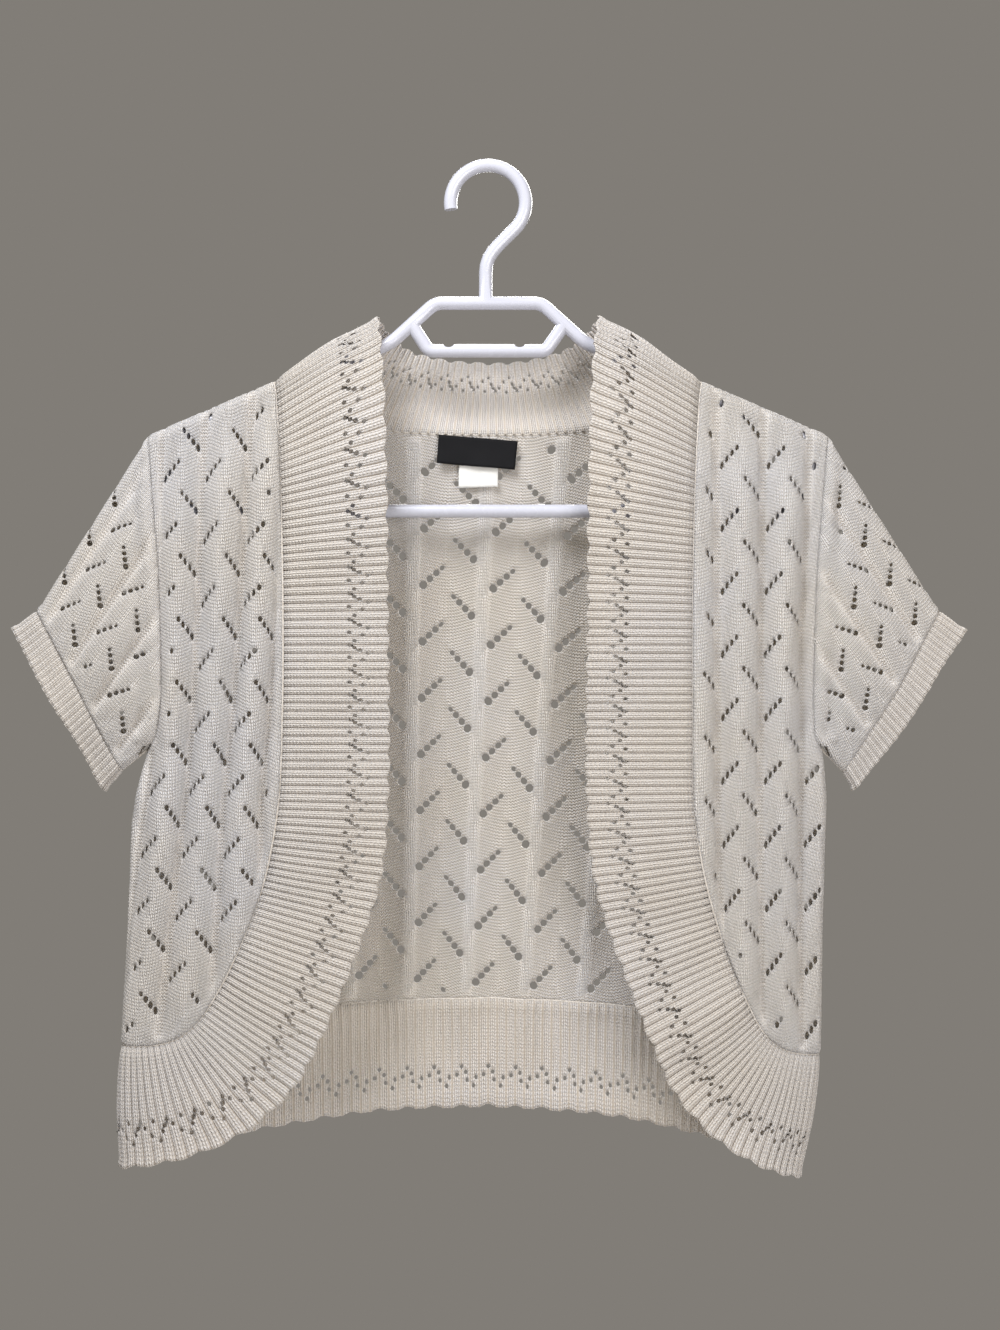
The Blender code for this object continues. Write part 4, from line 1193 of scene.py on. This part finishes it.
def rib_grid(columns, shares, closed, point_at, zigzag, width):
    """A ribbed strip: point_at(column, share, height) hangs each point."""
    bm = bmesh.new()
    bmesh.ops.create_grid(bm, x_segments=columns, y_segments=len(shares) - 1, size=0.5)
    uv = bm.loops.layers.uv.new("stitches")
    rib = bm.verts.layers.float.new("rib")
    grid = {}
    for vert in bm.verts:
        column = round((vert.co.x + 0.5) * columns)
        row = round((vert.co.y + 0.5) * (len(shares) - 1))
        grid[column, row] = vert
    places = {vert: key for key, vert in grid.items()}
    for face in bm.faces:
        for loop in face.loops:
            column, row = places[loop.vert]
            loop[uv].uv = (column / 3, shares[row] * width / ROW_PITCH)
    for (column, row), vert in grid.items():
        share = shares[row]
        height = RIB_HEIGHTS[column % PER_RIB] - RIB_LEVEL
        # The ribs are lower where the zigzag of eyelets crosses them.
        zigzag_zone = ease((share - 0.6) / 0.05) * ease((0.86 - share) / 0.05)
        height *= RIB_LIFT * (1 - 0.35 * zigzag_zone)
        # The sunken wale is marked; the finish sets its yarn low and paints shade into it.
        vert[rib] = max(0.0, 1 - RIB_HEIGHTS[column % PER_RIB] * 1.4)
        vert.co = point_at(column, share, height)
    holes = []
    for scallop in range(columns // PER_SCALLOP):
        for column, share in zigzag:
            at = scallop * PER_SCALLOP + column
            row = min(range(len(shares)), key=lambda i: abs(shares[i] - share))
            if 1 < at < columns - 1:
                holes.append((at, row))
    for column, row in holes:
        middle = grid[column, row].co
        for i in (-1, 1):
            for j in (-1, 1):
                corner = grid[column + i, row + j]
                corner.co = corner.co.lerp(middle, 0.22)
            beside, above = grid[column + i, row], grid[column, row + i]
            beside.co = beside.co.lerp(middle, -0.4)
            above.co = above.co.lerp(middle, 0.2)
    bmesh.ops.delete(bm, geom=[grid[hole] for hole in holes], context="VERTS")
    if closed:
        bmesh.ops.remove_doubles(bm, verts=bm.verts[:], dist=0.02)
    bm.normal_update()
    return bm


def face_outward(bm, centre_normal):
    """Turn all faces if the strip came out inside out."""
    bm.faces.ensure_lookup_table()
    face = bm.faces[len(bm.faces) // 2]
    if face.normal.dot(centre_normal(face.calc_center_median())) < 0:
        bmesh.ops.reverse_faces(bm, faces=bm.faces[:])
    bm.normal_update()


# %% The band round neck and fronts, and the hem band


def build_band(name, node, sections, zigzag, seed):
    whole = with_edge_normals(sections)
    count = len(whole) - 1

    def point_at(column, share, height):
        seam, normal, edge, edge_normal = whole[column]
        width = (edge - seam).length
        phase = (column / PER_SCALLOP) % 1.0
        rise = SCALLOP_RISE * math.sin(math.pi * phase) * ease((share - 0.8) / 0.2)
        facing = normal.lerp(edge_normal, ease(share / 0.66)).normalized()
        away = BAND_CROWN * share * (1 - share) + height
        soft = noise.noise(Vector((column / 70, share * 1.3, seed)))
        soft += 0.5 * noise.noise(Vector((column / 25, share * 2.0, seed + 5)))
        ends = ease(column / 60) * ease((count - column) / 60)
        away += BAND_RUFFLE * soft * ease(share / 0.4) * ends
        away += EDGE_CURL * ease((share - 0.88) / 0.12) ** 2
        away -= SEAM_DIP * math.exp(-((share / 0.05) ** 2))
        along = (edge - seam).normalized()
        return seam + along * (width * share + rise) + facing * away

    def nearest_normal(centre):
        return min(whole, key=lambda section: (section[0] - centre).length)[1]

    bm = rib_grid(count, BAND_SHARES, False, point_at, zigzag, BAND_WIDTH)
    face_outward(bm, nearest_normal)
    thicken(bm, WALL)
    piece = finish_piece(name, bm, RIB)
    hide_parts(node)
    seam, _, edge, _ = whole[count // 2]
    print(name, "width at its middle:", round((edge - seam).length, 1), "mm")


def band_keys(scallops):
    total = 2 * scallops * PER_SCALLOP
    return [i / PER_SCALLOP - scallops for i in range(total + 1)]


def front_section(key):
    if abs(key) <= SHOULDER_SCALLOP:
        return band_section(NECK_ROWS, key, 1)
    return band_section(FRONT_ROWS, key, -1)


FRONT_SECTIONS = [front_section(key) for key in band_keys(BAND_SCALLOPS)]
HEM_SECTIONS = [band_section(HEM_ROWS, key, 1) for key in band_keys(HEM_SCALLOPS)]
build_band(
    "front_neck_band_rib", "front_neck_band", FRONT_SECTIONS, FRONT_ZIGZAG, 3
)
build_band("back_hem_band_rib", "back_hem_band", HEM_SECTIONS, HEM_ZIGZAG, 11)

# %% [markdown]
# The cuffs
#
# A cuff is a short ring of the same rib. Its strip is rolled round and its ends are merged.

# %% Cuffs
CUFF_RIBS = 56
CUFF_SHARES = steps(0, 1, 8)
CUFF_DEPTH = 21.0
CUFF_LIFT = 1.1
CUFF_WAVE = 1.1


def cuff_point(turn, share, side):
    """Middle of the cuff: once round its ring, from seam (0) to edge (1)."""
    face = -1 if turn < 0.5 else 1
    part = turn * 2 if turn < 0.5 else 2 - turn * 2
    ends = [
        pressed_section(line, bulge, face, part * half_total(line))
        for line, bulge in zip((CUFF_SEAM, CUFF_EDGE), CUFF_BULGE)
    ]
    point = ends[0].lerp(ends[1], share)
    return Vector((point.x * side, point.y, point.z))


def cuff_outward(turn, side):
    ahead = cuff_point((turn + 0.002) % 1.0, 0.5, side)
    ahead -= cuff_point((turn - 0.002) % 1.0, 0.5, side)
    down = cuff_point(turn, 1.0, side) - cuff_point(turn, 0.0, side)
    return ahead.cross(down).normalized() * side


def build_cuff(name, side, node):
    columns = CUFF_RIBS * PER_RIB

    def point_at(column, share, height):
        turn = (column % columns) / columns
        edge = ease((share - 0.7) / 0.3)
        curl = edge - 0.9 * ease((0.15 - share) / 0.15)
        wave = CUFF_WAVE * math.sin(4 * math.pi * turn + side) * share
        wave *= math.sin(2 * math.pi * turn) ** 2
        reach = share + 0.012 * math.sin(2 * math.pi * column / (2 * PER_RIB)) * edge
        reach += 0.05 * share * math.sin(6 * math.pi * turn + 2 * side)
        point = cuff_point(turn, reach, side)
        return swing(point + cuff_outward(turn, side) * (height * CUFF_LIFT + curl + wave))

    bm = rib_grid(columns, CUFF_SHARES, True, point_at, (), CUFF_DEPTH)
    centre = sum((v.co for v in bm.verts), Vector()) / len(bm.verts)
    face_outward(bm, lambda point: Vector((0, point.y - centre.y, 0)))
    thicken(bm, WALL)
    piece = finish_piece(name, bm, RIB)
    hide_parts(node)


build_cuff("cuff_left_rib", -1, "cuff_left")
build_cuff("cuff_right_rib", 1, "cuff_right")

# %% [markdown]
# Seams
#
# The pieces are linked edge to edge, which leaves a fine raised chain along each join. A curve
# with a round bevel follows each seam, and becomes a mesh.

# %% Linked seams
SEAM_RADIUS = 0.85
SEAM_SIDES = 1


def shoulder_point(share, side):
    x = mix(SHOULDER_SEAM_X, SHOULDER_TIP_X, share)
    u, v = to_flat(x, shoulder_z(x))
    return hang_body(side * u, v, 1)


def side_point(share, side):
    z = mix(UNDERARM_Z, HEM_CORNER_Z, share)
    u, v = to_flat(side_x(z), z)
    return hang_body(side * u, v, 1)


def armhole_point(share, side):
    """Once round the armhole: down the front, and up the back."""
    face = -1 if share < 0.5 else 1
    arc = ARMHOLE_LENGTH * (share * 2 if share < 0.5 else 2 - share * 2)
    u, v = read_curve(ARMHOLE_ROWS, arc)
    return hang_body(side * u, v, face)


def seam_paths():
    paths = [
        ([section[0] for section in FRONT_SECTIONS[::4]], False),
        ([section[0] for section in HEM_SECTIONS[::4]], False),
    ]
    for side in (-1, 1):
        paths.append(([shoulder_point(i / 30, side) for i in range(31)], False))
        paths.append(([side_point(i / 60, side) for i in range(61)], False))
        paths.append(([armhole_point(i / 150, side) for i in range(150)], True))
        paths.append(([swing(cuff_point(i / 100, 0.0, side)) for i in range(100)], True))
        paths.append(([hang_sleeve(i / 10, ARMHOLE_LENGTH, 1, side) for i in range(11)], False))
    return paths


def round_curve(name, paths, radius, resolution):
    """A mesh tube along each path (points in mm, closed or not)."""
    curve = bpy.data.curves.new(name, "CURVE")
    curve.dimensions = "3D"
    curve.bevel_depth = radius * MM
    curve.bevel_resolution = resolution
    curve.use_fill_caps = True
    for points, closed in paths:
        spline = curve.splines.new("POLY")
        spline.points.add(len(points) - 1)
        for knot, point in zip(spline.points, points):
            knot.co = (*(point * MM), 1)
        spline.use_cyclic_u = closed
    maker = add_object(name + "_path", curve)
    bpy.context.view_layer.update()
    mesh = bpy.data.meshes.new_from_object(maker)
    bpy.data.objects.remove(maker)
    bpy.data.curves.remove(curve)
    return mesh


def seam_finish():
    yarn = Finish("ivory_seam_yarn")
    place = yarn.place()
    beads = yarn.noise(place, 520.0, 2.0, 0.6)
    # Painted shade: the yarn goes darker where its beads sink, and somewhat darker all along.
    tone = yarn.blend(yarn.ramp(beads, (0.35, 0.8), (0.6, 0.3)), IVORY, IVORY_PAINTED_SHADE)
    yarn.set(Base_Color=tone, Roughness=0.86)
    yarn.bump(beads, 0.8, 0.0007)
    return yarn.material


def build_seams():
    mesh = round_curve("linked_seams", seam_paths(), SEAM_RADIUS, SEAM_SIDES)
    finish_object(add_object("linked_seams", mesh), seam_finish())


build_seams()

# %% [markdown]
# Labels
#
# Two small woven labels are sewn inside the back neck: a wide black one, and a white one that
# hangs below it. Both are bare. Each is a small grid that follows the back's cloth.

# %% Woven labels
BLACK_CORNERS = ((-32.0, -166.6), (19.2, -171.0), (17.3, -189.4), (-33.3, -185.0))
WHITE_CORNERS = ((-19.0, -181.0), (6.4, -183.0), (6.4, -200.5), (-19.0, -201.0))
BLACK_TONES = ((0.005, 0.005, 0.006, 1), (0.016, 0.016, 0.018, 1))
WHITE_TONES = ((0.86, 0.86, 0.84, 1), (0.70, 0.69, 0.66, 1))
WARP_PITCH = 0.0005
WEFT_PITCH = 0.0004


def woven_finish(name, tones, roughness):
    weave = Finish(name)
    place = weave.place()
    x, _, z = weave.split(place)
    warp = (x * (2 * math.pi / WARP_PITCH)).math("SINE")
    weft = (z * (2 * math.pi / WEFT_PITCH)).math("SINE")
    threads = warp * weft * 0.5 + 0.5
    cloud = weave.noise(place, 60.0, 2.0)
    tone = weave.blend(threads * 0.5 + cloud * 0.4, *tones)
    weave.set(Base_Color=tone, Roughness=roughness, Specular_IOR_Level=0.15)
    weave.bump(threads, 0.35, 0.0002)
    return weave.material


def build_label(name, node, corners, lift, wall, material):
    a, b, c, d = [Vector(corner) for corner in corners]
    bm = bmesh.new()
    bmesh.ops.create_grid(bm, x_segments=26, y_segments=10, size=0.5)
    for vert in bm.verts:
        s, t = vert.co.x + 0.5, 0.5 - vert.co.y
        flat = a.lerp(b, s).lerp(d.lerp(c, s), t)
        normal = normal_at(hang_body, flat.x, flat.y, 1)
        ripple = 0.5 * math.sin(9 * s + 2 * t) * t + 1.6 * t * t
        vert.co = hang_body(flat.x, flat.y, 1) - normal * (lift + ripple)
    bm.normal_update()
    face_outward(bm, lambda centre: Vector((0, -1, 0)))
    bmesh.ops.solidify(bm, geom=bm.faces[:], thickness=wall)
    piece = finish_piece(name, bm, material)
    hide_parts(node)


WHITE_TAPE = woven_finish("white_woven_tape", WHITE_TONES, 0.55)
BLACK_TAPE = woven_finish("black_woven_tape", BLACK_TONES, 0.85)
build_label("care_label_tape", "care_label", WHITE_CORNERS, 2.2, 0.35, WHITE_TAPE)
build_label("neck_label_tape", "neck_label", BLACK_CORNERS, 3.0, 0.5, BLACK_TAPE)

# %% [markdown]
# The hanger
#
# The hanger is one plastic moulding: a round hook, a neck that opens into a window, sloping
# arms and a trouser bar. Each run is a round tube along a path with bent corners, and the
# tubes are joined into one skin. Two notches for straps are cut in the window's lower bar.

# %% Hanger
TUBE_RADIUS = 4.25
TUBE_SIDES = 6
CORNER_STEP = 6.0
HOOK_RADIUS = 24.0
HOOK_CENTRE_Z = -19.75
HOOK_TURN = (190, -42)
HOOK_STEPS = 48
NOTCHES_X = (-25.2, 20.2)
NOTCH_Z = -108.4
NOTCH_RADIUS = 4.2
NOTCH_DEPTH = 20


def round_path(corners, closed):
    """Straight runs with rounded corners (x, z, radius) in the plane y = 0."""
    path = []
    count = len(corners)
    for index, (x, z, radius) in enumerate(corners):
        here = Vector((x, z))
        if not closed and index in (0, count - 1):
            path.append(here)
            continue
        before = (Vector(corners[index - 1][:2]) - here).normalized()
        after = (Vector(corners[(index + 1) % count][:2]) - here).normalized()
        half = before.angle(after) / 2
        centre = here + (before + after).normalized() * radius / math.sin(half)
        start = here + before * radius / math.tan(half) - centre
        end = here + after * radius / math.tan(half) - centre
        sweep = start.angle_signed(end)
        turns = max(2, round(abs(sweep) / math.radians(CORNER_STEP)))
        first = math.atan2(start.y, start.x)
        for i in range(turns + 1):
            angle = first - sweep * i / turns
            path.append(centre + Vector((math.cos(angle), math.sin(angle))) * radius)
    return [Vector((point.x, 0.0, point.y)) for point in path]


def hook_path():
    path = []
    for degrees in steps(*HOOK_TURN, HOOK_STEPS):
        angle = math.radians(degrees)
        z = HOOK_CENTRE_Z + HOOK_RADIUS * math.sin(angle)
        path.append(Vector((HOOK_RADIUS * math.cos(angle), 0, z)))
    bend = ((7.0, -46.5), (3.3, -50.8), (0.5, -55.0), (-1.0, -59.5), (-1.5, -64.0), (-1.5, -84.0))
    return path + [Vector((x, 0, z)) for x, z in bend]


def plastic_finish():
    plastic = Finish("cool_white_plastic")
    place = plastic.place()
    cloud = plastic.noise(place, 14.0, 2.0)
    scuff = plastic.noise(place, 240.0, 3.0, 0.6)
    white = plastic.blend(cloud, (0.56, 0.57, 0.66, 1), (0.62, 0.63, 0.71, 1))
    gloss = plastic.ramp(scuff, (0.3, 0.2), (0.8, 0.34))
    plastic.set(Base_Color=white, Roughness=gloss, Coat_Weight=0.3, Coat_Roughness=0.12)
    plastic.bump(scuff, 0.08, 0.0003)
    return plastic.material


def notch_cutter(x):
    """A round bar along Y that cuts one notch."""
    across = Matrix.Rotation(math.pi / 2, 4, "X")
    bm = bmesh.new()
    bmesh.ops.create_cone(
        bm, cap_ends=True, segments=24, radius1=NOTCH_RADIUS * MM, radius2=NOTCH_RADIUS * MM,
        depth=NOTCH_DEPTH * MM, matrix=Matrix.Translation((x * MM, 0, NOTCH_Z * MM)) @ across,
    )
    return add_mesh("notch", bm)


def add_boolean(piece, part, operation):
    change = piece.modifiers.new(part.name, "BOOLEAN")
    change.operation = operation
    change.solver = "EXACT"
    change.object = part


def build_hanger():
    right = ((34, -84, 12), (62, -109.3, 26), (212, -174.2, 14), (200, -217, 17))
    frame_corners = right + tuple((-x, z, radius) for x, z, radius in reversed(right))
    window = ((-49, -97.5, 0), (-38, -114.5, 6), (37, -114.5, 6), (49, -97.5, 0))
    runs = (
        ("hanger_moulding", round_path(frame_corners, True), True),
        ("window_bar", round_path(window, False), False),
        ("hook", hook_path(), False),
    )
    piece, *tubes = [
        add_object(name, round_curve(name, [(path, closed)], TUBE_RADIUS, TUBE_SIDES))
        for name, path, closed in runs
    ]
    notches = [notch_cutter(x) for x in NOTCHES_X]
    for part in tubes:
        add_boolean(piece, part, "UNION")
    for part in notches:
        add_boolean(piece, part, "DIFFERENCE")
    bpy.context.view_layer.update()
    made = piece.evaluated_get(bpy.context.evaluated_depsgraph_get())
    mesh = bpy.data.meshes.new_from_object(made)
    piece.modifiers.clear()
    piece.data = mesh
    for part in tubes + notches:
        bpy.data.objects.remove(part)
    finish_object(piece, plastic_finish())
    mesh.set_sharp_from_angle(angle=math.radians(50))
    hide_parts("hanger")


build_hanger()

# %% [markdown]
# Floor, light and camera
#
# A small pale floor lies well below. A soft cool light comes from above in front, with a warm
# one from the other side and a third from behind, and an even grey world shows through the
# eyelets.

# %% Studio
FLOOR_RADIUS = 0.62
FLOOR_Z = -0.95
LENS = 59.2
CAMERA_PLACE = (0.0077, -1.4, -0.3155)
WORLD_GREY = (0.22, 0.205, 0.185, 1)
# Name, place, target, size, power, colour
LIGHTS = (
    ("key", (-0.45, -0.75, 0.75), (0, 0, -0.33), 0.6, 21, (0.97, 0.98, 1.0)),
    ("fill", (0.7, -1.3, -0.3), (0, 0, -0.35), 0.9, 14, (1.0, 0.97, 0.94)),
    ("back", (0.3, 1.2, 0.5), (0, 0, -0.3), 1.0, 30, (1.0, 0.98, 0.96)),
)


def build_floor():
    bm = bmesh.new()
    bmesh.ops.create_circle(bm, cap_ends=True, segments=96, radius=FLOOR_RADIUS)
    bmesh.ops.translate(bm, vec=(0, 0, FLOOR_Z), verts=bm.verts[:])
    floor = add_mesh("floor", bm)
    pale = Finish("pale_floor")
    place = pale.place()
    tone = pale.blend(pale.noise(place, 3.0), (0.62, 0.61, 0.60, 1), (0.66, 0.65, 0.64, 1))
    pale.set(Base_Color=tone, Roughness=0.8)
    floor.data.materials.append(pale.material)


def add_light(name, place, target, size, power, colour):
    light = bpy.data.lights.new(name, "AREA")
    light.size = size
    light.energy = power
    light.color = colour
    lamp = add_object(name, light)
    lamp.location = place
    lamp.rotation_euler = (Vector(target) - Vector(place)).to_track_quat("-Z", "Y").to_euler()


def build_world():
    world = bpy.data.worlds.new("even_grey")
    world.use_nodes = True
    ground = world.node_tree.nodes["Background"]
    ground.inputs["Color"].default_value = WORLD_GREY
    ground.inputs["Strength"].default_value = 1.0
    bpy.context.scene.world = world


def add_camera():
    camera = bpy.data.cameras.new("camera")
    camera.sensor_fit = "AUTO"
    camera.sensor_width = 36
    camera.lens = LENS
    stand = add_object("camera", camera)
    stand.location = CAMERA_PLACE
    stand.rotation_euler = (math.pi / 2, 0, 0)
    bpy.context.scene.camera = stand


build_floor()
build_world()
for light in LIGHTS:
    add_light(*light)
bpy.context.scene.view_settings.view_transform = "Standard"
add_camera()
